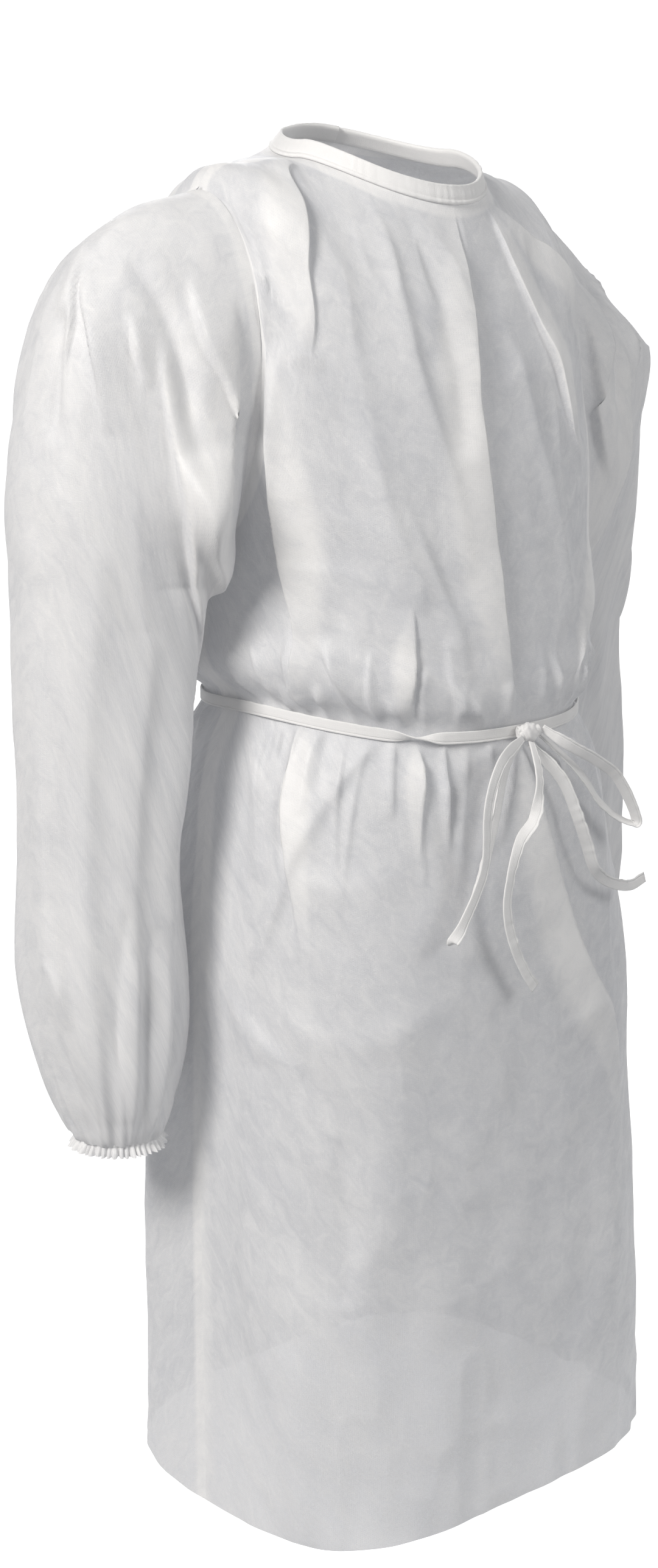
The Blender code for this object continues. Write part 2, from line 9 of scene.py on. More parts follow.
import bpy
import numpy as np
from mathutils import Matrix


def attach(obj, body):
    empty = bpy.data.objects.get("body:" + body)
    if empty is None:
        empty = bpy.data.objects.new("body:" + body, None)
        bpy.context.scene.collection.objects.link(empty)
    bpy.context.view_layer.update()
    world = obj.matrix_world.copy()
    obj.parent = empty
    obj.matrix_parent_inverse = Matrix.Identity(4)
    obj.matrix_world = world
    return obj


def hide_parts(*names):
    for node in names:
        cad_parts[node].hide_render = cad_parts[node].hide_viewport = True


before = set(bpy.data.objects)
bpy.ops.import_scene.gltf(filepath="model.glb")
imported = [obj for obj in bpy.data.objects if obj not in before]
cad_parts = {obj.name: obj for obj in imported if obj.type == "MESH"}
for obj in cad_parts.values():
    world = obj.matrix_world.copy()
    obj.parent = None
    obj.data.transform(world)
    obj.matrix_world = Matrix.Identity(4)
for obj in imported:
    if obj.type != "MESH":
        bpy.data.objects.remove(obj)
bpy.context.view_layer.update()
scene = bpy.context.scene
scene.view_settings.view_transform = "Standard"

# Camera. It stands 1.85 m from the gown, well round to the wearer's right, at chest
# height, and looks a little down.
PHOTO_HEIGHT = 2576
FOCAL_PIXELS = 3780
SENSOR_HEIGHT = 36.0
AROUND = 43.0  # degrees from the centre front to the wearer's right
DISTANCE = 1.85  # from the middle of the body, which lies behind the neck's own
BODY_MIDDLE = 0.028
CAMERA_LEVEL = -0.105
LOOK_LEFT = 0.841
LOOK_DOWN = 11.5

camera_data = bpy.data.cameras.new("camera")
camera_data.sensor_fit = "VERTICAL"
camera_data.sensor_height = SENSOR_HEIGHT
camera_data.lens = SENSOR_HEIGHT * FOCAL_PIXELS / PHOTO_HEIGHT
camera = bpy.data.objects.new("camera", camera_data)
around = math.radians(AROUND)
camera.location = (
    -math.sin(around) * DISTANCE, BODY_MIDDLE - math.cos(around) * DISTANCE, CAMERA_LEVEL,
)
camera.rotation_euler = (math.radians(90 - LOOK_DOWN), 0, math.radians(LOOK_LEFT - AROUND))
scene.collection.objects.link(camera)
scene.camera = camera

# Studio. A bright white sweep under and behind the gown, a little light from all round,
# and three soft lamps: a key that rakes across the folds from the viewer's left, a weak
# fill from the front and one behind. The sweep itself throws no light on the cloth, which
# would flatten its folds.
FLOOR_LEVEL = -1.42
LAMPS = (
    # name, place, aimed at, size, watts, colour
    ("key", (-2.7, -0.5, 1.3), (0.0, 0.0, -0.45), 1.2, 84.0, (1.0, 0.975, 0.945)),
    ("fill", (1.2, -2.7, 1.2), (0.0, 0.0, -0.35), 1.4, 28.0, (1.0, 0.99, 0.97)),
    ("back", (1.8, 2.4, 1.0), (0.0, 0.0, -0.40), 1.6, 24.0, (0.98, 0.98, 1.0)),
)

world = bpy.data.worlds.new("world")
world.use_nodes = True
world.node_tree.nodes["Background"].inputs["Color"].default_value = (0.96, 0.97, 1.0, 1.0)
world.node_tree.nodes["Background"].inputs["Strength"].default_value = 0.27
scene.world = world

for name, place, target, size, watts, colour in LAMPS:
    lamp = bpy.data.lights.new(name, "AREA")
    lamp.shape = "DISK"
    lamp.size = size
    lamp.energy = watts
    lamp.color = colour
    holder = bpy.data.objects.new(name, lamp)
    holder.location = place
    aim = np.array(target) - np.array(place)
    holder.rotation_euler = (
        math.pi / 2 + math.asin(aim[2] / np.linalg.norm(aim)), 0, math.atan2(-aim[0], aim[1]),
    )
    scene.collection.objects.link(holder)

SWEEP_NEAR, SWEEP_FAR, SWEEP_HALF, SWEEP_RADIUS, SWEEP_TOP = -4.0, 4.0, 6.0, 1.5, 3.5
SWEEP_STEPS = 12
FLOOR_LOOK = {
    "Base Color": (0.93, 0.93, 0.93, 1.0), "Roughness": 0.9, "Specular IOR Level": 0.1,
    "Emission Color": (1.0, 1.0, 1.0, 1.0), "Emission Strength": 0.80,
}
sweep_line = [(SWEEP_NEAR, 0.0), (SWEEP_FAR - SWEEP_RADIUS, 0.0)]
for step in range(1, SWEEP_STEPS + 1):
    turn = step / SWEEP_STEPS * math.pi / 2
    sweep_line.append((
        SWEEP_FAR - SWEEP_RADIUS + SWEEP_RADIUS * math.sin(turn),
        SWEEP_RADIUS * (1 - math.cos(turn)),
    ))
sweep_line.append((SWEEP_FAR, SWEEP_TOP))
sweep_points = []
for away, height in sweep_line:
    for side in (-SWEEP_HALF, SWEEP_HALF):
        # The sweep stands square to the camera's view.
        sweep_points.append((
            side * math.cos(around) + away * math.sin(around),
            away * math.cos(around) - side * math.sin(around),
            FLOOR_LEVEL + height,
        ))
sweep_faces = [(2 * i, 2 * i + 1, 2 * i + 3, 2 * i + 2) for i in range(len(sweep_line) - 1)]
sweep_mesh = bpy.data.meshes.new("floor")
sweep_mesh.from_pydata(sweep_points, [], sweep_faces)
sweep_mesh.shade_smooth()
floor = bpy.data.objects.new("floor", sweep_mesh)
scene.collection.objects.link(floor)
floor_paint = bpy.data.materials.new("pale_floor")
floor_paint.use_nodes = True
floor_shader = floor_paint.node_tree.nodes["Principled BSDF"]
for socket, value in FLOOR_LOOK.items():
    floor_shader.inputs[socket].default_value = value
sweep_mesh.materials.append(floor_paint)
floor.visible_diffuse = False


# Front panel. One piece of spunbonded nonwoven, cut from the neck to the hem with the
# front halves of both shoulders, and sewn to the back panels at the shoulders and sides.
# The cloth was packed folded flat, so long sharp creases run down it, and the belt
# gathers it at the waist.
NECK, TIP, UNDERARM, WAIST, HEM = 0.0, 1.0, 2.0, 3.0, 4.0  # levels down the body
# Each row of the body: where the section crosses the centre front, the centre back and
# the side, in millimetres, and how square its front and back are, with 2 for an ellipse.
BODY = np.array((
    # level, front y, z, squareness, back y, z, squareness, side x, y, z
    (0.00, -71, -24, 2.00, 96, 33, 2.0, 83, 13, 11),
    (0.50, -92, -84, 2.20, 108, 2, 2.3, 126, 22, 7),
    (1.00, -109, -150, 2.50, 120, -60, 2.6, 164, 30, -14),
    (1.50, -123, -225, 2.60, 132, -160, 2.7, 176, 36, -160),
    (2.00, -133, -300, 2.70, 132, -265, 2.8, 168, 36, -275),
    (2.50, -140, -350, 2.70, 126, -328, 2.7, 165, 32, -326),
    (2.85, -143, -392, 2.60, 121, -370, 2.6, 163, 26, -370),
    (2.96, -140, -408, 2.55, 108, -386, 2.5, 148, 20, -389),
    (3.00, -139.5, -415, 2.55, 107, -393, 2.5, 147, 20, -396),
    (3.04, -140, -422, 2.55, 108, -400, 2.5, 148, 20, -403),
    (3.14, -147, -456, 2.60, 120, -434, 2.5, 166, 18, -440),
    (3.30, -157, -540, 2.80, 134, -525, 2.7, 181, 14, -528),
    (3.60, -166, -740, 3.20, 145, -725, 2.9, 193, 4, -730),
    (4.00, -170, -1035, 3.60, 150, -1020, 3.0, 202, -8, -1032),
)) / (1, 1000, 1000, 1, 1000, 1000, 1, 1000, 1000, 1000)
ARMHOLE_CUT = 28.0  # degrees by which the widest part of the armhole cuts into a section
# Each row of a sleeve, in millimetres: the middle of the section out from and behind the
# body's axis, its half sizes, and the heights of its outer and inner sides.
ARM = np.array((
    # along, out, behind, half out, half deep, outer z, inner z
    (0.00, 165.5, 32, -1.5, 74, -14, -275),
    (0.06, 192.5, 36, 19.5, 77, -29, -292),
    (0.12, 213.5, 40, 40, 78.5, -53, -310),
    (0.18, 231, 42, 54, 78, -92, -326),
    (0.25, 240.5, 44, 62, 75, -148, -338),
    (0.33, 245, 47, 68, 73, -215, -350),
    (0.43, 246, 50, 67, 68, -305, -374),
    (0.55, 249, 52, 62, 62, -400, -424),
    (0.68, 251, 51, 59, 60, -500, -507),
    (0.80, 251.5, 47, 62.5, 63.5, -600, -600),
    (0.90, 251, 38, 53, 54, -668, -666),
    (0.96, 252, 34, 40, 41.5, -706, -704),
    (1.00, 252.5, 32, 32.5, 33.5, -720, -720),
)) / (1, 1000, 1000, 1000, 1000, 1000, 1000)


def smooth_columns(table, at):
    """Every column after the first of a table, read smoothly at the places asked for."""
    rows = np.array(table, float)
    keys, values = rows[:, 0], rows[:, 1:]
    slopes = np.gradient(values, keys, axis=0)
    at = np.clip(np.asarray(at, float), keys[0], keys[-1])
    low = np.clip(np.searchsorted(keys, at, side="right") - 1, 0, len(keys) - 2)
    span = keys[low + 1] - keys[low]
    t = ((at - keys[low]) / span)[..., None]
    span = span[..., None]
    start = values[low] * (1 + 2 * t) * (1 - t) ** 2 + slopes[low] * span * t * (1 - t) ** 2
    end = values[low + 1] * t * t * (3 - 2 * t) - slopes[low + 1] * span * t * t * (1 - t)
    return np.moveaxis(start + end, -1, 0)


def ease(value, start, end):
    """0 on one side of a stretch, 1 on its other side, and smooth between them."""
    t = np.clip((value - start) / (end - start), 0.0, 1.0)
    return t * t * (3 - 2 * t)


def unit(vectors):
    return vectors / np.maximum(np.linalg.norm(vectors, axis=-1, keepdims=True), 1e-12)


def travelled(points, axis=0):
    """How far each point is along a path, or down or across a grid."""
    steps = np.linalg.norm(np.diff(points, axis=axis), axis=-1)
    return np.insert(np.cumsum(steps, axis=axis), 0, 0.0, axis=axis)


def armhole(angle):
    """The seam round the arm: 0 is the shoulder tip, 90 the front and 180 the underarm."""
    out, behind, half_out, half_deep, outer_z, inner_z = smooth_columns(ARM, np.zeros_like(angle))
    turn = np.radians(angle)
    lower = (1 - np.cos(turn)) / 2
    x = out + half_out * np.cos(turn)
    y = behind - half_deep * np.sin(turn)
    return x, y, outer_z + (inner_z - outer_z) * lower


def section(turn, middle_y, middle_z, square, side_x, side_y, side_z):
    """A point of one section, at an angle from its middle, with the sides at 90 degrees."""
    across, toward = np.sin(turn), np.cos(turn)
    x = side_x * np.sign(across) * np.abs(across) ** (2 / square)
    y = side_y + (middle_y - side_y) * np.abs(toward) ** (2 / square)
    z = side_z + (middle_z - side_z) * np.abs(toward) ** 1.5
    return np.stack([x, y, z], axis=-1)


def body(angle, level, behind=False):
    """Points of the body at angles in degrees (0 front, 90 wearer's left) and levels."""
    front_y, front_z, front_square, back_y, back_z, back_square, *side = smooth_columns(BODY, level)
    if behind:
        sizes, local = (back_y, back_z, back_square, *side), 180.0 - angle
    else:
        sizes, local = (front_y, front_z, front_square, *side), angle
    # At the armhole the section stops short of its side, and its end is drawn to the seam.
    round_arm = np.clip(level - TIP, 0.0, 1.0)
    cut = ARMHOLE_CUT * np.sin(np.pi * round_arm)
    points = section(np.radians(local - cut * (local / 90.0) ** 3), *sizes)
    end = section(np.radians(90.0 - cut) * np.sign(local), *sizes)
    seam_x, seam_y, seam_z = armhole(180.0 * round_arm * (-1.0 if behind else 1.0))
    seam = np.stack([np.sign(local) * seam_x, seam_y, seam_z], axis=-1)
    drawn = (seam - end) * (np.abs(local) / 90.0)[..., None] ** 3
    on_armhole = (level >= TIP) & (level <= UNDERARM)
    return points + np.where(on_armhole[..., None], drawn, 0.0)


NORMAL_SMOOTHING = 12


def softened(rows, times):
    """The rows of an array, each drawn toward the rows beside it this many times."""
    for _ in range(times):
        rows[1:-1] = (rows[:-2] + 2 * rows[1:-1] + rows[2:]) / 4
    return rows


def normals_of(points):
    """Outward normals of a grid whose rows go down and whose columns go to the left.

    They are softened down the grid, where the sections of the body change abruptly.
    """
    out = unit(np.cross(np.gradient(points, axis=0), np.gradient(points, axis=1)))
    return unit(softened(out, NORMAL_SMOOTHING))


LUMPS = 64  # how many random lumps there are each way before they repeat


def roughly(u, v, size, seed):
    """Smooth random values from -1 to 1 over a sheet, with lumps of about a size."""
    table = np.random.default_rng(seed).uniform(-1.0, 1.0, (LUMPS, LUMPS))
    u, v = u / size + 7.3, v / size + 3.1
    low_u, low_v = np.floor(u).astype(int), np.floor(v).astype(int)
    s, t = u - low_u, v - low_v
    s, t = s * s * (3 - 2 * s), t * t * (3 - 2 * t)

    def at(i, j):
        return table[(low_u + i) % LUMPS, (low_v + j) % LUMPS]

    return (at(0, 0) * (1 - s) + at(1, 0) * s) * (1 - t) + (at(0, 1) * (1 - s) + at(1, 1) * s) * t


LAPPED = 0.6  # a crest that leans this much has the cloth doubled beside it
DOUBLED_HEIGHT = 0.006  # a crest this high has it fully doubled
LINE_STEPS = 12  # from one stop of a crease to the next
LINE_SMOOTHING = 10  # how often the corners of a crease's line are rounded
CREASE_REACH = 3.2  # how many widths away a crease still moves the cloth
CREASE_FALL = 1.7  # how its height falls away from the crest, with 2 for a bell
UNEVEN, UNEVEN_TURNS, UNEVEN_SHIFT = 0.22, 9.0, 2.1  # how its height changes along it
COLUMN_DRAW = 0.7  # how strongly the columns are drawn to a crease, less than 1
COLUMN_REACH = 3.6  # degrees
COLUMN_FADE = 0.12  # levels past the ends of a crease


def crease(points, normals, surface, rows, hold):
    """The grid with creases pressed into it, and how doubled the cloth is at each point.

    Each row is a crease: its height, the width of its sharp and of its wide side, how far
    its crest leans over the sharp side for each unit of height, and the angles and levels
    that it passes through. The wide side is on the right of the way it runs, seen from
    outside. Heights under 0 make a trough. Hold is where the cloth may move, 0 to 1.
    """
    moved = np.zeros_like(points)
    doubled = np.zeros(points.shape[:2])
    for number, (height, sharp, wide, lean, stops) in enumerate(rows):
        height, sharp, wide = height / 1000, sharp / 1000, wide / 1000
        keys = np.arange(len(stops))
        table = np.column_stack([keys, np.array(stops, float)])
        read = np.linspace(0, keys[-1], LINE_STEPS * keys[-1] + 1)
        line = softened(surface(*smooth_columns(table, read)), LINE_SMOOTHING)
        reach = CREASE_REACH * max(sharp, wide) + 2 * abs(height * lean)
        low, high = line.min(axis=0) - reach, line.max(axis=0) + reach
        near = ((points > low) & (points < high)).all(axis=-1)
        if not near.any():
            continue
        at, out = points[near], normals[near]
        best = np.full(len(at), np.inf)
        side = np.zeros(len(at))
        place = np.zeros(len(at))
        tangent = np.zeros_like(at)
        for step in range(len(line) - 1):
            run = line[step + 1] - line[step]
            length = np.linalg.norm(run)
            if length < 1e-6:
                continue
            t = np.clip((at - line[step]) @ run / length ** 2, 0.0, 1.0)
            away = at - line[step] - t[:, None] * run
            distance = np.linalg.norm(away, axis=1)
            closer = distance < best
            best = np.where(closer, distance, best)
            place = np.where(closer, (step + t) / (len(line) - 1), place)
            tangent = np.where(closer[:, None], run / length, tangent)
            right = np.cross(out, run / length)
            side = np.where(closer, -np.sum(away * right, axis=1), side)
        right = -unit(np.cross(out, tangent))
        width = np.where(side > 0, wide, sharp)
        ends = np.sin(np.pi * np.clip(place, 0.0, 1.0)) ** (1.0 if lean >= LAPPED else 0.7)
        uneven = 1 + UNEVEN * np.sin(UNEVEN_TURNS * place + UNEVEN_SHIFT * number)
        rise = height * ends * uneven * np.exp(-((best / width) ** CREASE_FALL))
        rise = rise * hold[near]
        moved[near] += out * rise[:, None] - right * (np.abs(rise) * lean)[:, None]
        if lean >= LAPPED:
            reach = np.where(side > 0, 1.1 * wide, 0.45 * sharp) * (0.15 + 0.85 * ends)
            layers = ends * ease(best, 1.25 * reach, 0.75 * reach) * min(1.0, height / DOUBLED_HEIGHT)
            doubled[near] = np.maximum(doubled[near], layers)
    return points + moved, doubled


def toward_creases(angle, level, rows):
    """The angles of a grid's columns, drawn together along the sharp creases they meet."""
    for _, sharp, _, _, stops in rows:
        stops = np.array(stops, float)
        stops = stops[np.argsort(stops[:, 1])]
        first, last = stops[0, 1], stops[-1, 1]
        if sharp > 3.0 or last - first < 0.25 * COLUMN_REACH:
            continue
        there = np.interp(level, stops[:, 1], stops[:, 0])
        fade = ease(level, first - COLUMN_FADE, first) * ease(level, last + COLUMN_FADE, last)
        away = angle - there
        angle = angle - COLUMN_DRAW * fade * away * np.exp(-((away / COLUMN_REACH) ** 2))
    return angle


# Creases of the body. Height, sharp side and wide side are in millimetres.
BODY_CREASES = [
    # the centre crease, and its run on into the skirt
    (9, 2.4, 30, 1, (
        (0, 0.0), (-4, 0.35), (-5, 0.75), (-5, 1.08), (-4, 1.52), (-3, 2.04), (-2, 2.59), (0, 2.97),
    )),
    (7, 3.4, 32, 0.6, ((1, 3.04), (3, 3.19), (10, 3.39), (23, 3.5), (27, 3.62))),
    # down from the neck on the right, with the cross fold at its foot
    (7.5, 2.6, 24, 0.7, ((-80, 0.14), (-75, 0.44), (-64, 0.7), (-57, 0.91), (-54, 1.15), (-57, 1.32))),
    (3, 2, 5, 0.3, ((-67, 1.37), (-58, 1.32), (-50, 1.27))),
    (4, 8, 12, 0, ((-72, 1.36), (-77, 1.51), (-75, 1.62), (-68, 1.78))),
    # down from the neck on the left
    (7, 2.4, 20, 0.7, ((37, 1.62), (28, 1.39), (26, 1.14), (23, 0.83), (25, 0.33), (31, 0.04))),
    (5.5, 2.4, 24, 0.9, ((39, 0.06), (43, 0.4), (48, 0.66), (52, 1.05), (53, 1.4))),
    # the side fold under the right arm
    (11, 3, 24, 0.8, (
        (-67, 2.94), (-62, 2.64), (-62, 2.18), (-63, 1.9), (-68, 1.74), (-78, 1.56), (-88, 1.44),
    )),
    (7, 3, 16, 0.6, ((-60, 3.4), (-66, 3.22), (-67, 3.11), (-68, 3.03))),
    (4.5, 3, 9, 0.4, ((-88, 1.46), (-81, 1.3), (-74, 1.24))),
    # thin short folds above and below the belt
    (5.5, 1.8, 14, 0.6, ((-26, 2.16), (-28, 2.62), (-31, 2.97))),
    (5, 1.8, 10, 0.6, ((-30, 3.03), (-28, 3.12), (-27, 3.25))),
    (4, 5, 14, 0.2, ((-41, 3.02), (-53, 3.14), (-67, 3.28), (-78, 3.4))),
    (5, 2.6, 12, 0.4, ((-42, 2.95), (-49, 2.75), (-56, 2.5))),
    (4.2, 2.6, 11, 0.3, ((-10, 2.96), (-16, 2.75), (-17, 2.4))),
    (4.4, 2.6, 12, 0.3, ((18, 2.97), (20, 2.8), (26, 2.42))),
    # the skirt's crescents and corners
    (3.6, 8, 18, 0.1, ((-88, 3.42), (-76, 3.47), (-62, 3.5))),
    (2.2, 12, 18, 0.1, ((-76, 3.24), (-55, 3.28), (-29, 3.25))),
    (2.4, 14, 20, 0, ((-73, 3.43), (-45, 3.46), (-15, 3.41))),
    (8, 22, 40, 0, ((-74, 3.5), (-70, 3.66), (-64, 3.84), (-63, 4.02))),
    (-4.5, 12, 16, 0, ((-52, 3.56), (-47, 3.68), (-49, 3.74))),
    (5.5, 24, 40, 0, ((60, 3.32), (63, 3.6), (61, 4.02))),
    (-4, 26, 34, 0, ((-30, 3.5), (-26, 3.78), (-30, 4.02))),
    (4, 30, 34, 0, ((16, 3.62), (19, 3.8), (18, 4.02))),
    # the left side, seen past the centre
    (7, 3, 20, 0.7, ((66, 1.1), (58, 1.6), (46, 2.1), (30, 2.45), (15, 2.84))),
    (3, 5, 14, 0.2, ((78, 1.6), (72, 2.05), (68, 2.5), (66, 2.8))),
    # soft pulls across the chest
    (4.6, 8, 13, 0, ((-46, 0.18), (-32, 0.52), (-19, 1.12), (-12, 1.54), (-10, 2.0))),
    (-4, 9, 9, 0, ((-31, 0.05), (-16, 0.53), (-9, 1.07), (-9, 1.4))),
    (4.2, 9, 13, 0, ((-47, 0.75), (-38, 1.2), (-31, 1.71), (-23, 2.01), (-25, 2.22))),
    (3.6, 6, 11, 0, ((-28, 1.55), (-20, 1.88), (-14, 2.3), (-12, 2.7))),
    (4, 9, 12, 0, ((8, 0.6), (11, 1.3), (18, 1.9), (20, 2.4))),
    (-4, 12, 12, 0, ((-60, 1.7), (-50, 2.2), (-48, 2.6))),
]
GATHERS_SEED = 21
GATHERS = 46
SIDE_GATHERS = 12  # more of them where the side fold meets the belt


def belt_gathers(first_angle, last_angle, count, seed):
    """Short uneven pleats above and below the belt, as rows for crease."""
    draw = np.random.default_rng(seed)
    rows = []
    for number in range(count):
        angle = first_angle + (last_angle - first_angle) * (number + draw.uniform(0.1, 0.9)) / count
        above = number % 2 == 0
        length = draw.uniform(0.05, 0.22) * (1.0 if above else 1.3)
        height = draw.uniform(1.8, 5.2)
        drift = draw.uniform(-5.0, 5.0)
        near, far = (2.975, 2.97 - 2.2 * length) if above else (3.025, 3.03 + length)
        width = draw.uniform(2.2, 4.5)
        stops = ((angle, near), (angle + drift * 0.4, (near + far) / 2), (angle + drift, far))
        rows.append((height, width, width * 1.6, 0.3, stops))
    return rows


BODY_CREASES += belt_gathers(-90, 90, GATHERS, GATHERS_SEED)
BODY_CREASES += belt_gathers(-93, -62, SIDE_GATHERS, GATHERS_SEED + 1)


def even_steps(surface, angle, fine, count):
    """Levels at even distances down the cloth, along one line of it."""
    away = travelled(surface(np.full(len(fine), angle), fine))
    return np.interp(np.linspace(0, away[-1], count), away, fine)


def cloth_lengths(points):
    """How far each point is across and down the flat cloth, in metres."""
    across, middle = travelled(points, 1), points.shape[1] // 2
    return across - across[:, middle:middle + 1], travelled(points, 0)


HANG = 0.42  # the dents are longer down the cloth than across it by 1 to this


def crumple(points, normals, across, down, hold, seed):
    """Small dents and ridges that hang down the cloth, a little sharp on top."""
    hung = down * HANG
    soft = roughly(across, hung, 0.040, seed) * 2.0 + roughly(across, down, 0.026, seed + 1) * 0.8
    ridges = 0.4 - np.abs(roughly(across, hung, 0.026, seed + 2)) ** 0.7
    patches = 0.30 + 0.70 * ease(roughly(across, down, 0.10, seed + 3), -0.3, 0.6)
    height = (soft + 2.0 * ridges * patches) * 0.001 * hold
    return points + normals * height[..., None]


def pressed_panel(surface, angle, level, rows, hold, dented, seed, outward=1):
    """A creased panel: its points, normals, lengths of cloth and how doubled it is.

    Dented is how much it is crumpled as well, from 0 to 1.
    """
    points = surface(angle, level)
    normals = normals_of(points) * outward
    across, down = cloth_lengths(points)
    shape, doubled = crease(points, normals, surface, rows, hold)
    shape = crumple(shape, normals, across, down, hold * dented, seed)
    return shape, normals, across, down, doubled


def cloth_mesh(name, points, place, material, closed=False, joined=False, capped=False):
    """A smooth mesh on a grid of points, with each point's place on the flat cloth.

    The place is how far across and down the cloth it is, and how doubled the cloth is. A
    closed grid meets itself across, a joined one down, and a capped one is shut at its ends.
    """
    rows, columns = points.shape[:2]
    index = np.arange(rows * columns).reshape(rows, columns)
    if closed:
        index = np.concatenate([index, index[:, :1]], axis=1)
    if joined:
        index = np.concatenate([index, index[:1]])
    faces = np.stack([index[:-1, :-1], index[1:, :-1], index[1:, 1:], index[:-1, 1:]], axis=-1)
    faces = faces.reshape(-1, 4).tolist()
    if capped:
        faces += [index[0, :-1].tolist(), index[-1, -2::-1].tolist()]
    mesh = bpy.data.meshes.new(name)
    mesh.from_pydata(points.reshape(-1, 3).tolist(), [], faces)
    kept = mesh.attributes.new("cloth", "FLOAT_VECTOR", "POINT")
    kept.data.foreach_set("vector", np.stack(place, axis=-1).reshape(-1).astype(np.float32))
    mesh.materials.append(material)
    mesh.shade_smooth()
    made = bpy.data.objects.new(name, mesh)
    scene.collection.objects.link(made)
    return made


class Wire:
    """One output of a shader node. Sums with it add Math nodes, which keep numbers only."""

    def __init__(self, tree, socket=None):
        self.tree = tree
        self.socket = socket

    def node(self, kind, settings=None, sockets=None, output=0):
        """Adds a node, its settings first and then the values or wires of its sockets."""
        made = self.tree.nodes.new("ShaderNode" + kind)
        for name, value in (settings or {}).items():
            setattr(made, name, value)
        for name, value in (sockets or {}).items():
            if isinstance(value, Wire):
                self.tree.links.new(value.socket, made.inputs[name])
            else:
                made.inputs[name].default_value = value
        return Wire(self.tree, made.outputs[output])

    def math(self, operation, first, second=0.0):
        return self.node("Math", {"operation": operation}, {0: first, 1: second})

    def __add__(self, other):
        return self.math("ADD", self, other)

    def __mul__(self, other):
        return self.math("MULTIPLY", self, other)

    def __sub__(self, other):
        return self.math("SUBTRACT", self, other)

    def __rsub__(self, other):
        return self.math("SUBTRACT", other, self)

    __radd__ = __add__
    __rmul__ = __mul__

    def clamp(self, low=0.0, high=1.0):
        return self.math("MINIMUM", self.math("MAXIMUM", self, low), high)

    def between(self, start, end):
        """0 below start, 1 above end, and smooth between them."""
        settings = {"interpolation_type": "SMOOTHSTEP"}
        return self.node("MapRange", settings, {"Value": self, "From Min": start, "From Max": end})

    def blend(self, first, second):
        """The first colour where this is 0 and the second where it is 1."""
        sockets = {"Factor": self, 6: first, 7: second}
        return self.node("Mix", {"data_type": "RGBA"}, sockets, output=2)


def nonwoven(name, thin_painted_shade, thick, opacity, cloudiness):
    """Spunbonded cloth: long fine fibres laid at random and bonded at small pressed dots.

    Thin_painted_shade is the colour of its single, sparse places, painted shade for the dim inside of
    the gown seen through the cloth; thick is the cloth's own white, for its thick or doubled places.
    """
    DOT_PITCH = 0.0016
    FIBRE_SIZE = (0.0006, 0.0050, 1.0)
    FIBRES = ((64, 3.0), (108, 11.0), (-38, 23.0), (15, 31.0))  # degrees, and a random place
    CLOUDS, DRIFTS = 70.0, 14.0  # how many thicker places there are to a metre
    material = bpy.data.materials.new(name)
    material.use_nodes = True
    tree = material.node_tree
    shader = tree.nodes["Principled BSDF"]
    start = Wire(tree)
    place = start.node("Attribute", {"attribute_name": "cloth"}, output=1)
    split = start.node("SeparateXYZ", None, {0: place})
    across, down, doubled = (Wire(tree, output) for output in split.socket.node.outputs)
    flat = start.node("CombineXYZ", None, {0: across, 1: down})

    def noise(vector, scale, detail, roughness, distortion=0.0):
        return start.node("TexNoise", {"noise_dimensions": "2D"}, {
            "Vector": vector, "Scale": scale, "Detail": detail, "Roughness": roughness,
            "Distortion": distortion,
        })

    def fibres(turn, seed):
        """Fine streaks along one direction of the cloth."""
        mapped = start.node("Mapping", {"vector_type": "TEXTURE"}, {
            "Vector": flat, "Location": (seed, seed, 0.0),
            "Rotation": (0.0, 0.0, math.radians(turn)), "Scale": FIBRE_SIZE,
        })
        return noise(mapped, 1.0, 1.0, 0.5)

    laid = [fibres(turn, seed) for turn, seed in FIBRES]
    streaks = sum(laid, 0.0) * 0.25
    hairs = sum((one.between(0.63, 0.80) for one in laid), 0.0)
    clouds = noise(flat, CLOUDS, 6.0, 0.62, 0.6)
    drifts = noise(flat, DRIFTS, 3.0, 0.5)
    turns = 2 * math.pi / DOT_PITCH
    rows = start.math("COSINE", (across + down) * (turns / 2))
    columns = start.math("COSINE", (across - down) * (turns / 2))
    dots = (rows * columns).between(0.45, 0.9)
    density = (clouds - 0.5) * cloudiness + (streaks - 0.5) * (0.5 * cloudiness) + (drifts - 0.5) * 0.5
    # White runs from the painted inside shade of the thin colour to the cloth's own white, as the cloth
    # grows thick or doubled.
    white = (density + 0.38 + doubled * 0.55 - dots * 0.10 + hairs * 0.12).clamp()
    relief = streaks * 0.5 - dots * 0.5 + clouds * 0.6 + hairs * 0.25
    looks = {
        "Base Color": white.blend((*thin_painted_shade, 1.0), (*thick, 1.0)),
        "Roughness": 0.52 - dots * 0.12 + (0.5 - clouds) * 0.25,
        "Alpha": (opacity + (white - 0.5) * 0.16).clamp(0.0, 0.995),
        "Normal": start.node("Bump", None, {"Height": relief, "Strength": 0.35, "Distance": 0.0006}),
    }
    for socket, wire in looks.items():
        tree.links.new(wire.socket, shader.inputs[socket])
    shader.inputs["Specular IOR Level"].default_value = 0.42
    shader.inputs["Sheen Weight"].default_value = 0.25
    shader.inputs["Sheen Roughness"].default_value = 0.4
    through = start.node("BsdfTranslucent", None, {"Color": (0.90, 0.91, 0.93, 1.0)})
    both = start.node("MixShader", None, {0: 0.18, 1: Wire(tree, shader.outputs[0]), 2: through})
    tree.links.new(both.socket, tree.nodes["Material Output"].inputs["Surface"])
    return material


# Its thin colour, a cool grey, is painted shade for the dim inside of the gown seen through single
# cloth; its thick colour is the cloth's own white.
PANEL_CLOTH = nonwoven("panel_nonwoven", (0.64, 0.65, 0.68), (0.955, 0.945, 0.93), 0.985, 0.70)

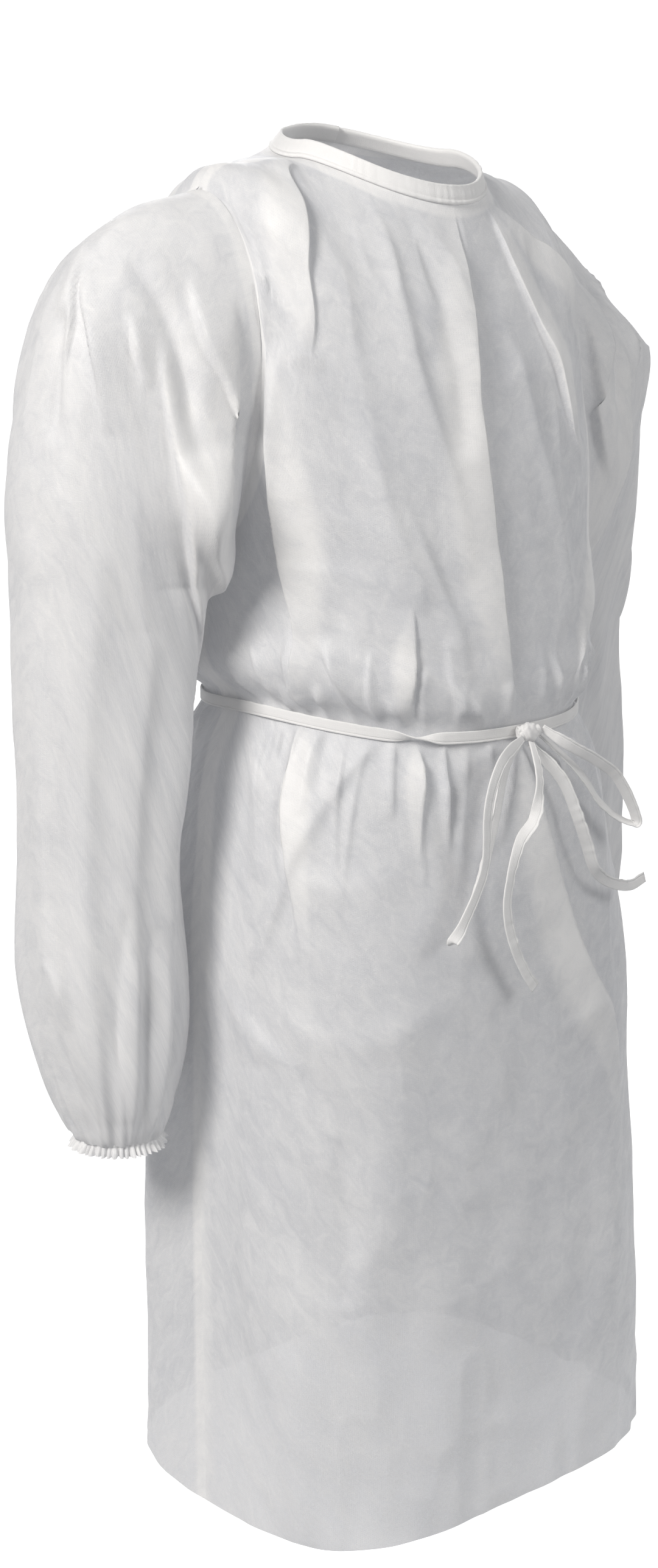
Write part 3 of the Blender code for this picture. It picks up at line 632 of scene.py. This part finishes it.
FRONT_COLUMNS, BODY_ROWS = 241, 331
LEVELS = even_steps(body, -35.0, np.linspace(NECK, HEM, 1200), BODY_ROWS)
SEWN_REACH = 9.0  # degrees from a seam within which the cloth is held
NECK_REACH = 0.16  # levels below the neck
BELT_REACH = (0.012, 0.05)  # levels from the belt
SEAM_ALLOWANCE = 0.009
HEM_WAVES = (0.031, 0.21, 0.13)  # lengths of the waves and of their slow changes
HEM_WAVE_HEIGHT = 0.0016
UP = np.array([0.0, 0.0, 1.0])


def loose(from_seam, level):
    """0 where the cloth is sewn or under the belt, and 1 in the open cloth."""
    held = ease(from_seam, 0.0, SEWN_REACH) * ease(level, 0.0, NECK_REACH)
    return held * ease(np.abs(level - WAIST), *BELT_REACH)


def seam_layers(distance):
    """How doubled the cloth is beside a seam, where its allowance lies behind it."""
    return 0.8 * ease(distance, SEAM_ALLOWANCE + 0.0012, SEAM_ALLOWANCE)


def hem_waves(points, normals, across, level, strength):
    """Small uneven waves of the cut edge at the hem."""
    low = ease(level, 3.90, HEM) * strength
    quick, shift, slow = (across * 2 * np.pi / length for length in HEM_WAVES)
    wave = np.sin(quick + 2.2 * np.sin(shift))
    rise = HEM_WAVE_HEIGHT * low * wave * (0.6 + 0.4 * np.sin(slow))
    return points + normals * (1.5 * rise)[..., None] + UP * rise[..., None]


angle, level = np.meshgrid(np.linspace(-90, 90, FRONT_COLUMNS), LEVELS)
angle = toward_creases(angle, level, BODY_CREASES)
hold = loose(np.minimum(angle + 90.0, 90.0 - angle), level)
shape, normals, across, down, doubled = pressed_panel(body, angle, level, BODY_CREASES, hold, 1, 40)
scalloped = 0.35 + 0.65 * ease(angle, 0.0, 30.0)
shape = hem_waves(shape, normals, across, level, scalloped)
side_edge = np.minimum(across - across[:, :1], across[:, -1:] - across)
doubled = np.maximum(doubled, seam_layers(np.minimum(down, side_edge)))
front = cloth_mesh("front_panel", shape, (across, down, doubled), PANEL_CLOTH)
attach(front, "root")
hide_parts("front")


# Back panels. Two pieces of the same cloth, sewn to the front at the shoulders and the
# sides, and left open down the middle, where the left one laps over the right one.
OVERLAP_ANGLE = 17.0  # how far each panel goes past the centre back
LAP_DEPTH = 0.0036  # how far the lower panel lies under the upper one
LAP_EASE = (26.0, 4.0)  # degrees past the lap's edge where it starts and has gone under
BACK_COLUMNS = 141
BACK_CREASES = [
    (7, 3, 22, 0.9, ((112, 0.55), (116, 1.2), (113, 2.1), (110, 2.95))),
    (6, 3, 18, 0.8, ((140, 0.3), (137, 1.0), (142, 1.9), (139, 2.93))),
    (5, 6, 16, 0.4, ((104, 1.6), (122, 2.1), (132, 2.6), (134, 2.95))),
    (4, 9, 14, 0, ((128, 0.7), (110, 1.1), (98, 1.4))),
    (5, 14, 30, 0.2, ((116, 3.05), (120, 3.4), (116, 4.02))),
    (4.5, 16, 30, 0.1, ((146, 3.05), (142, 3.45), (147, 4.02))),
    (-3.5, 18, 24, 0, ((132, 3.2), (131, 3.6), (134, 4.02))),
    (3, 6, 12, 0.2, ((100, 3.1), (108, 3.28), (124, 3.36))),
    (3.2, 3, 8, 0.4, ((168, 0.4), (164, 1.3), (170, 2.4), (167, 2.95))),
]
BACKS = (
    # name, node, first angle, last angle, whether it is mirrored, seed
    ("back_panel_left", "back_left", 90.0, 180.0 + OVERLAP_ANGLE, False, 60),
    ("back_panel_right", "back_right", 180.0 - OVERLAP_ANGLE, 270.0, True, 80),
)


def lapped_under(past_centre):
    """How deep the lower layer lies at an angle past the centre back."""
    return LAP_DEPTH * ease(past_centre - OVERLAP_ANGLE, *LAP_EASE)


def body_behind(angle, level):
    return body(angle, level, behind=True)


for name, node, first, last, mirrored, seed in BACKS:
    angle, level = np.meshgrid(np.linspace(first, last, BACK_COLUMNS), LEVELS)
    rows = list(BACK_CREASES)
    if mirrored:
        # The same folds a little lower, shifted and flatter, so that the sides differ.
        rows = [
            (height * 0.9, sharp, wide, lean, [(362 - a, l * 0.98 + 0.03) for a, l in stops[::-1]])
            for height, sharp, wide, lean, stops in rows
        ]
    rows += belt_gathers(first + 4, last - 4, 26, seed)
    sewn = angle - first if not mirrored else last - angle
    # The cloth lies quiet where the two panels lap, so that one stays over the other.
    lap = 1 - 0.8 * ease(np.abs(angle - 180.0), OVERLAP_ANGLE + 10.0, OVERLAP_ANGLE)
    hold = loose(sewn, level) * lap
    shape, normals, across, down, doubled = pressed_panel(body_behind, angle, level, rows, hold, 1, seed)
    if mirrored:
        shape = shape - normals * lapped_under(angle - 180.0)[..., None]
    shape = hem_waves(shape, normals, across, level, 0.5)
    side_edge = across[:, -1:] - across if mirrored else across - across[:, :1]
    doubled = np.maximum(doubled, seam_layers(np.minimum(down, side_edge)))
    back = cloth_mesh(name, shape, (across, down, doubled), PANEL_CLOTH)
    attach(back, "root")
    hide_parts(node)


# Sleeves. Each is one piece of the same cloth, closed by a seam under the arm and set
# into the armhole. Elastic draws in its end, so short gathers run up from the wrist.
SLEEVE_COLUMNS, SLEEVE_ROWS = 181, 241
LEFT_ARM_BACK = 0.015  # the left arm hangs this much further back than the right
SLEEVE_CREASES = [
    # the pull from the armhole down the front of the arm, and the sharp folds beside it
    (5, 18, 18, 0, ((66, 0.02), (76, 0.09), (86, 0.16), (96, 0.25))),
    (7, 3.4, 20, 0.6, ((60, 0.03), (74, 0.045), (90, 0.065), (98, 0.1), (103, 0.15), (106, 0.2))),
    (9, 2.8, 24, 0.7, (
        (138, 0.5), (129, 0.397), (114, 0.31), (102, 0.247), (88, 0.2), (76, 0.173), (64, 0.15),
        (60, 0.13),
    )),
    (7.5, 2.8, 14, 0.5, ((100, 0.063), (93, 0.07), (83, 0.077), (68, 0.087), (48, 0.07))),
    (6.5, 2.8, 9, 0.3, ((0, 0.12), (4, 0.147), (15, 0.187), (18, 0.227), (24, 0.28))),
    (8.5, 2.8, 14, 0.5, ((48, 0.26), (41, 0.22), (31, 0.19), (20, 0.173), (12, 0.15))),
    (-7, 6, 8, 0, ((8, 0.19), (14, 0.22), (20, 0.3))),
    (-8, 6, 9, 0, ((27, 0.12), (52, 0.117), (68, 0.123), (82, 0.14), (96, 0.18))),
    (6.5, 2.8, 9, 0.4, ((62, 0.182), (50, 0.163), (42, 0.15))),
    # the long soft folds of the lower arm
    (6, 9, 18, 0.1, ((84, 0.42), (80, 0.58), (74, 0.76), (70, 0.95))),
    (5.5, 10, 18, 0, ((52, 0.36), (46, 0.56), (44, 0.78), (48, 0.95))),
    (5, 10, 16, 0, ((8, 0.44), (14, 0.62), (16, 0.8), (14, 0.95))),
    (5, 8, 14, 0.1, ((112, 0.52), (108, 0.66), (104, 0.8), (96, 0.95))),
    (3, 9, 16, 0, ((330, 0.4), (336, 0.6), (338, 0.8), (342, 0.95))),
    (3.5, 6, 14, 0.2, ((300, 0.3), (288, 0.42), (280, 0.6), (284, 0.88))),
    # the folds that the elastic draws up from the wrist
    (3.2, 5, 12, 0.1, ((22, 0.72), (27, 0.8), (40, 0.86), (46, 0.97))),
    (-4.5, 4, 9, 0, ((70, 0.72), (62, 0.8), (56, 0.88), (58, 0.98))),
    (-4.5, 4, 9, 0, ((90, 0.74), (82, 0.81), (80, 0.88), (78, 0.98))),
    (4.5, 4, 8, 0.1, ((76, 0.76), (72, 0.86), (68, 0.98))),
    (4, 3, 7, 0.2, ((14, 0.765), (24, 0.785), (30, 0.83))),
    (-4, 4, 8, 0, ((14, 0.8), (20, 0.9), (22, 0.98))),
    (4.5, 4, 9, 0, ((100, 0.76), (98, 0.88), (94, 0.98))),
    (-4, 4, 8, 0, ((112, 0.74), (110, 0.86), (106, 0.98))),
    (4, 4, 9, 0, ((206, 0.74), (202, 0.86), (198, 0.98))),
    (-4, 4, 8, 0, ((240, 0.76), (236, 0.88), (238, 0.98))),
    (4.5, 4, 9, 0, ((272, 0.72), (270, 0.84), (276, 0.98))),
    (-4, 4, 8, 0, ((304, 0.76), (308, 0.86), (306, 0.98))),
    # the back of the arm
    (7, 4, 20, 0.8, ((292, 0.05), (264, 0.12), (250, 0.26), (242, 0.42), (236, 0.6))),
    (4.5, 3, 14, 0.6, ((316, 0.08), (300, 0.14), (284, 0.24), (268, 0.36))),
    (3.4, 4, 10, 0.3, ((340, 0.07), (330, 0.14), (322, 0.26))),
    (3, 8, 12, 0, ((262, 0.5), (258, 0.66), (262, 0.9))),
    (3, 4, 9, 0.3, ((10, 0.05), (8, 0.16), (14, 0.3))),
]
CUFF_GATHERS = 30
SLEEVE_PAINTED_SHADE_LIFT = 0.35  # the sleeve's two walls lie close, so less painted shade of the inside is put on it


def arm(angle, along):
    """Points of the right sleeve: angle 0 is outside, 90 in front and 180 inside."""
    out, behind, half_out, half_deep, outer_z, inner_z = smooth_columns(ARM, along)
    turn = np.radians(angle)
    x = -(out + half_out * np.cos(turn))
    y = behind - half_deep * np.sin(turn)
    z = outer_z + (inner_z - outer_z) * (1 - np.cos(turn)) / 2
    return np.stack([x, y, z], axis=-1)


def cuff_gathers(seed):
    """Uneven pleats that run up from the elastic, as rows for crease."""
    draw = np.random.default_rng(seed)
    rows = []
    for number in range(CUFF_GATHERS):
        angle = 360 * (number + draw.uniform(0.15, 0.85)) / CUFF_GATHERS
        top = 0.985 - draw.uniform(0.04, 0.17)
        width = draw.uniform(1.6, 3.0)
        stops = ((angle + draw.uniform(-9, 9), top), (angle, 0.955), (angle, 1.0), (angle, 1.02))
        rows.append((draw.uniform(1.6, 3.6), width, width * 1.5, 0.2, stops))
    return rows


SLEEVE_STEPS = even_steps(arm, 70.0, np.linspace(0, 1, 600), SLEEVE_ROWS)
# The columns run from the seam under the arm right round to it again.
sleeve_angles = np.linspace(180.0, -180.0, SLEEVE_COLUMNS)
RIGHT_EXTRA = [
    # the cloth that hangs over at the front of the right arm, and ends in a sharp lower edge
    (12, 20, 22, 0, ((98, 0.08), (101, 0.14), (104, 0.2), (107, 0.25), (110, 0.3))),
    (19, 6, 40, 0.3, ((140, 0.2), (124, 0.2), (108, 0.2), (86, 0.18))),
    (12, 20, 22, 0, ((112, 0.28), (113, 0.38), (113, 0.5), (112, 0.62), (110, 0.74))),
]
LEFT_EXTRA = [
    # the left arm is pushed out further in front, with a hollow above
    (-14, 36, 36, 0, ((30, 0.02), (33, 0.08), (37, 0.14), (41, 0.2))),
    (15, 32, 32, 0, ((44, 0.1), (44, 0.2), (44, 0.3), (44, 0.4), (44, 0.5))),
    (11, 32, 32, 0, ((42, 0.42), (43, 0.56), (44, 0.72), (44, 0.88))),
]
SLEEVES = (
    ("right", 1.0, 0.0, RIGHT_EXTRA, 100),
    ("left", -1.0, LEFT_ARM_BACK, LEFT_EXTRA, 130),
)
for side, mirror, back_by, extra, seed in SLEEVES:
    angle, along = np.meshgrid(sleeve_angles, SLEEVE_STEPS)
    rows = SLEEVE_CREASES + extra + cuff_gathers(seed)
    hold, dented = ease(along, 0.0, 0.06), ease(along, 1.0, 0.9)
    shape, _, across, down, doubled = pressed_panel(arm, angle, along, rows, hold, dented, seed, -1)
    shape[:, -1] = shape[:, 0]
    shape = shape + np.stack([0 * along, back_by * ease(along, 0.10, 0.45), 0 * along], axis=-1)
    shape = shape * np.array([mirror, 1.0, 1.0])
    # The sleeves carry less of the painted inside shade than the body panels.
    doubled = SLEEVE_PAINTED_SHADE_LIFT + (1 - SLEEVE_PAINTED_SHADE_LIFT) * np.maximum(doubled, seam_layers(down))
    sleeve = cloth_mesh("sleeve_panel_" + side, shape, (across, down, doubled), PANEL_CLOTH)
    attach(sleeve, "root")
    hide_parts("sleeve_" + side)


# Neck binding. A strip of the same cloth folded over the neck's raw edge, with a rolled
# rim, and sewn through close to its lower fold. Its ends lap at the centre back.
# Each row goes round the binding's section: up from the neck line, and out, in millimetres.
BINDING_SECTION = (
    (0.3, 0.4), (0.4, 1.5), (1.1, 2.0), (2.4, 2.1), (3.3, 1.8), (3.7, 1.1), (4.2, 1.3), (6.0, 1.7),
    (9.0, 1.7), (12.0, 1.5), (13.4, 1.7), (14.5, 1.9), (15.2, 1.4), (15.4, 0.4), (15.1, -0.8),
    (14.2, -1.6), (12.0, -1.7), (8.0, -1.5), (4.0, -1.4), (1.2, -1.3), (0.4, -0.7),
)
BINDING_LEAN = (12.0, 34.0)  # degrees inward at the front, and how much more at the back
BINDING_STEPS = 900
BINDING_PUCKER = 0.00022


def all_round(angles, level):
    """One section of the plain body, right round it, and its level outward directions."""

    def at(turned):
        turned = (turned + 180.0) % 360.0 - 180.0
        levels = np.full(len(turned), level)
        is_front = (np.abs(turned) <= 90.0)[:, None]
        return np.where(is_front, body(turned, levels), body(turned % 360.0, levels, True))

    line = at(angles)
    return line, unit(np.cross(at(angles + 1.0) - line, UP))


def folded_strip(name, rings, joined=False):
    """A strip of the cloth from rings of points, its two ends shut or joined to each other."""
    round_it = np.linalg.norm(rings - np.roll(rings, 1, axis=1), axis=-1).cumsum(axis=1)
    along = np.repeat(travelled(rings.mean(axis=1))[:, None], rings.shape[1], axis=1)
    place = (round_it, along, np.ones(along.shape))
    return cloth_mesh(name, rings, place, TAPE_CLOTH, True, joined, not joined)


# Its thin colour is a lighter painted inside shade; the strips count as doubled throughout, so little of
# it shows.
TAPE_CLOTH = nonwoven("tape_nonwoven", (0.86, 0.86, 0.865), (0.965, 0.955, 0.94), 0.99, 0.35)

angles = np.linspace(-180.0 - OVERLAP_ANGLE, 180.0 + OVERLAP_ANGLE, BINDING_STEPS)
neck_line, neck_out = all_round(angles, NECK)
neck_line = neck_line - neck_out * lapped_under(angles + 180.0)[:, None]
lean = BINDING_LEAN[0] + BINDING_LEAN[1] * (1 - np.cos(np.radians(angles))) / 2
lean = np.radians(lean)[:, None]
rise = UP * np.cos(lean) - neck_out * np.sin(lean)
out = neck_out * np.cos(lean) + UP * np.sin(lean)
section_up, section_out = np.array(BINDING_SECTION).T / 1000
spot_up, spot_along = np.meshgrid(section_up, travelled(neck_line))
# Small puckers between the stitches, and a slow unevenness of the folded strip.
pucker = roughly(spot_along, spot_up * 0.35, 0.0032, 201) * BINDING_PUCKER
slow = roughly(spot_along, 0 * spot_up, 0.030, 202) * 0.0003
bulge = np.clip(section_out, 0.0, None) / 0.0017
shift = (pucker + slow) * bulge[None, :]
rings = neck_line[:, None] + rise[:, None] * (spot_up * (1 + slow * 60))[..., None]
rings = rings + out[:, None] * (section_out[None, :] + shift)[..., None]
binding = folded_strip("neck_band", rings)
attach(binding, "root")
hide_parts("neck_binding")


# Cuffs. The sleeve's end is turned over a narrow elastic and sewn, and what is left below
# it stands out as a frill of small uneven pleats.
FRILL_FLAT = (0.36, 0.014)
FRILL_PLEATS = 46
FRILL_COLUMNS = 736
# Each row: drop below the sleeve's end, out from its ring, and how high the pleats are.
FRILL_SHAPE = (
    # step, drop, out, pleats, in millimetres
    (0, -4.5, -1.0, 0.2), (1, -2.0, -0.3, 0.7), (2, 0.0, 0.1, 0.9), (3, 1.6, -0.5, 0.8),
    (4, 3.2, 0.1, 1.1), (5, 5.4, 1.4, 1.7), (6, 7.4, 2.5, 2.1), (7, 9.2, 3.2, 2.4),
)
FRILL_ROWS = 29
for side, mirror, back_by, seed in (("right", 1.0, 0.0, 300), ("left", -1.0, LEFT_ARM_BACK, 330)):
    turn, step = np.meshgrid(
        np.linspace(0, 2 * np.pi, FRILL_COLUMNS, endpoint=False), np.linspace(0, 7, FRILL_ROWS),
    )
    drop, stand, pleat = smooth_columns(FRILL_SHAPE, step) / 1000
    # The pleats are drawn from a circle through the noise, so they close on themselves.
    ring_x, ring_y = 1.0 + np.cos(turn), 1.0 + np.sin(turn)
    phase = FRILL_PLEATS * turn + 1.5 * roughly(ring_x, ring_y, 0.16, seed)
    strength = 1.0 + 0.55 * roughly(ring_x, ring_y, 0.11, seed + 1)
    waves = np.sin(phase) + 0.30 * np.sin(2 * phase + 1.0)
    tilt = 0.0016 * roughly(ring_x, ring_y, 0.13, seed + 2) * ease(step, 3.0, 7.0)
    ragged = 0.0008 * roughly(ring_x, ring_y, 0.09, seed + 3) * ease(step, 4.0, 7.0)
    reach = stand + pleat * strength * waves + tilt
    out, behind, half_out, half_deep, end, _ = ARM[-1][1:]
    x = -(out + (half_out + reach) * np.cos(turn))
    y = behind - (half_deep + reach) * np.sin(turn) + back_by
    frill = np.stack([x * mirror, y, end - drop - ragged], axis=-1)
    across = np.repeat(np.linspace(0, FRILL_FLAT[0], FRILL_COLUMNS)[None], FRILL_ROWS, axis=0)
    # The frill is set 0.7 of the way from the painted inside shade to the cloth's own white.
    place = (across, drop, 0.7 + 0 * drop)
    cuff = cloth_mesh("cuff_frill_" + side, frill, place, PANEL_CLOTH, closed=True)
    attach(cuff, "root")
    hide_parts("cuff_" + side)


# Belt. One long strip of the cloth, folded in on itself and sewn along one edge, passed
# round the waist and tied in a bow on the wearer's left of the centre front.
TAPE_WIDTH = 0.0094
TAPE_HALF = 0.00062
# One face of the folded strip: across it from the fold to the sewn edge, and out.
TAPE_FACE = (
    (-1.00, 0.00), (-0.985, 0.55), (-0.93, 0.95), (-0.80, 1.10), (-0.40, 1.0), (0.10, 0.95),
    (0.42, 1.0), (0.54, 0.85), (0.60, 0.40), (0.66, 0.85), (0.78, 1.05), (0.92, 0.95), (0.985, 0.5),
)
TAPE_SIDES = np.array(TAPE_FACE + tuple((-u, -v) for u, v in TAPE_FACE))
BELT_STEPS = 1100
BELT_STAND = 0.0026  # how far the belt's middle stands out of the body
TWIST_ANGLES = (-41.0, -19.0)  # where the belt turns over, right of the centre front


def tape_rings(path, across, face, widths, pucker, seed, sewn=1.0):
    """Rings of a folded strip along a path, with small puckers beside its sewn edge."""
    u, v = TAPE_SIDES.T
    u_grid, along = np.meshgrid(u, travelled(path))
    near_edge = ease(u_grid * sewn, 0.1, 0.8)
    small = roughly(along, u_grid * 0.001, 0.0042, seed)
    large = roughly(along, u_grid * 0.004, 0.016, seed + 1)
    wave = pucker * (small * (0.35 + 0.65 * near_edge) + 0.6 * large)
    edge = 1 + 0.10 * (pucker / 0.0005) * near_edge * roughly(along, 0 * along, 0.0036, seed + 2)
    half = widths[:, None] / 2 * edge
    rings = path[:, None] + across[:, None] * (u_grid * sewn * half)[..., None]
    return rings + face[:, None] * (v[None, :] * TAPE_HALF * sewn + wave)[..., None]


angles = np.linspace(-180.0, 180.0, BELT_STEPS, endpoint=False)
waist_line, waist_out = all_round(angles, WAIST)
over = ease(angles, *TWIST_ANGLES)
edge_on = np.sin(np.pi * over)
turn = np.pi * over
sag = roughly(np.cumsum(np.full(BELT_STEPS, 0.00075)), 0 * angles, 0.05, 400) * 0.0006
middle = waist_line + waist_out * (BELT_STAND + 0.0012 * edge_on)[:, None]
middle = middle + UP * (sag * np.cos(np.radians(angles / 2)) ** 2)[:, None]
belt_across = unit(UP * np.cos(turn)[:, None] + waist_out * (np.sin(turn) * 0.8)[:, None])
belt_run = unit(np.gradient(waist_line, axis=0))
belt_face = unit(np.cross(belt_run, belt_across)) * -1.0
belt_width = TAPE_WIDTH * (1 - 0.66 * edge_on ** 1.5)
rings = tape_rings(middle, belt_across, belt_face, belt_width, 0.00022, 410)
belt = folded_strip("belt_tape", rings, joined=True)
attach(belt, "root")
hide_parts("belt")


# Bow. The strip's own ends, in two long loops and two tails with square-cut ends, all out
# of one small flattened knot.
# Each strip: its name, how strongly it puckers, which of its edges is the sewn one, and the
# points it passes through, with x, y, z in millimetres and the degrees that its width is
# turned toward the viewer.
BOW_STRIPS = (
    ("bow_loop_right", 0.00025, 1, (
        (19, -153, -413, 30), (35.8, -164, -425.9, 30), (65.6, -168, -441.9, 40),
        (91.5, -169, -460.6, 50), (116.1, -167, -497.1, 70), (104, -160, -495, 50),
        (81.1, -158, -478.5, 35), (64.2, -156, -457.1, 30), (42.4, -153, -436.9, 40),
        (19.5, -149, -418, 40),
    )),
    ("bow_loop_left", 0.00028, -1, (
        (-3.6, -154, -418, 20), (-42.5, -169, -430.6, 10), (-59.6, -173, -460.6, 0),
        (-63.7, -174, -506.3, 0), (-84.7, -174, -544.3, 10), (-93.6, -171, -558.1, 60),
        (-79.4, -167, -551.1, 20), (-58.3, -165, -516.7, 0), (-43.2, -164, -473.9, 0),
        (-29.1, -161, -437.7, 10), (-1, -149.5, -423.2, 20),
    )),
    ("bow_tail_middle", 0.00055, 1, (
        (6, -154, -422.2, 10), (-1, -168, -438, 0), (-7.2, -175, -456, 0),
        (-13.8, -177, -475.5, 60), (-28.8, -177, -490.5, 30), (-39.9, -178, -517.2, 0),
        (-43.9, -179, -541, 0), (-36.9, -179, -567, 0), (-23.9, -179, -591, 0),
        (-11.9, -179, -607, 0),
    )),
    ("bow_tail_right", 0.00040, -1, (
        (10.5, -149, -424.9, 30), (31.9, -162, -452.5, 35), (44.6, -167, -481.1, 40),
        (55.6, -168, -505.9, 45), (64.6, -168, -525.9, 50), (78.7, -166, -538.4, 30),
        (97.7, -165, -546.7, 10), (114.7, -165, -549.7, 0), (128.7, -166, -545.4, 0),
    )),
)
BOW_STEP = 0.0008
VIEWER = np.array([0.0, -1.0, 0.0])


def bow_strip(name, pucker, sewn, table, seed):
    """One loop or tail, along a smooth curve through its points."""
    numbered = [(step, *row) for step, row in enumerate(table)]
    *path, turn = smooth_columns(numbered, np.linspace(0, len(table) - 1, 800))
    path = np.stack(path, axis=-1) / 1000
    away = travelled(path)
    even = np.linspace(0, away[-1], int(away[-1] / BOW_STEP))
    path = np.stack([np.interp(even, away, column) for column in path.T], axis=-1)
    turn = np.radians(np.interp(even, away, turn))[:, None]
    along = unit(np.gradient(path, axis=0))
    flat = unit(np.cross(VIEWER, along))
    across = unit(flat * np.cos(turn) + np.cross(along, flat) * np.sin(turn))
    face = unit(np.cross(along, across))
    # The strips are drawn in where they come out of the knot.
    from_knot = np.minimum(even, even[-1] - even if "loop" in name else 1.0)
    widths = TAPE_WIDTH * (0.62 + 0.38 * ease(from_knot, 0.0, 0.022))
    rings = tape_rings(path, across, face, widths, pucker, seed, sewn)
    made = folded_strip(name + "_tape", rings)
    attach(made, "root")
    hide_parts(name)


for number, strip in enumerate(BOW_STRIPS):
    bow_strip(*strip, 500 + 10 * number)

# The knot: a small flattened lump with the strip's turns as ridges round it.
KNOT_MIDDLE = np.array([0.0075, -0.1494, -0.4150])
KNOT_HALF = np.array([0.0100, 0.0062, 0.0066])
KNOT_SIDES, KNOT_RINGS = 96, 72
KNOT_ROUNDING = 0.75
tilt, turn = np.meshgrid(
    np.radians(np.linspace(-89.0, 89.0, KNOT_RINGS)),
    np.arange(KNOT_SIDES) * 2 * np.pi / KNOT_SIDES, indexing="ij",
)
# The poles of this ball point along the belt, so its rings are the turns of the strip.
ball = np.stack([np.sin(tilt), -np.cos(tilt) * np.cos(turn), np.cos(tilt) * np.sin(turn)], axis=-1)
ball = np.sign(ball) * np.abs(ball) ** KNOT_ROUNDING
slant = tilt + 0.35 * np.cos(turn) + 0.2 * np.sin(2 * turn)
ridges = 0.07 * np.cos(5.0 * slant) + 0.05 * np.cos(11.0 * slant + 1.3 * np.sin(turn))
dents = 0.05 * roughly(ball[..., 0] + 2.0, ball[..., 2] + ball[..., 1] + 3.0, 0.5, 600)
knot_rings = KNOT_MIDDLE + ball * KNOT_HALF * (1 + ridges + dents)[..., None]
knot = folded_strip("bow_knot_tape", knot_rings)
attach(knot, "root")
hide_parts("bow_knot")
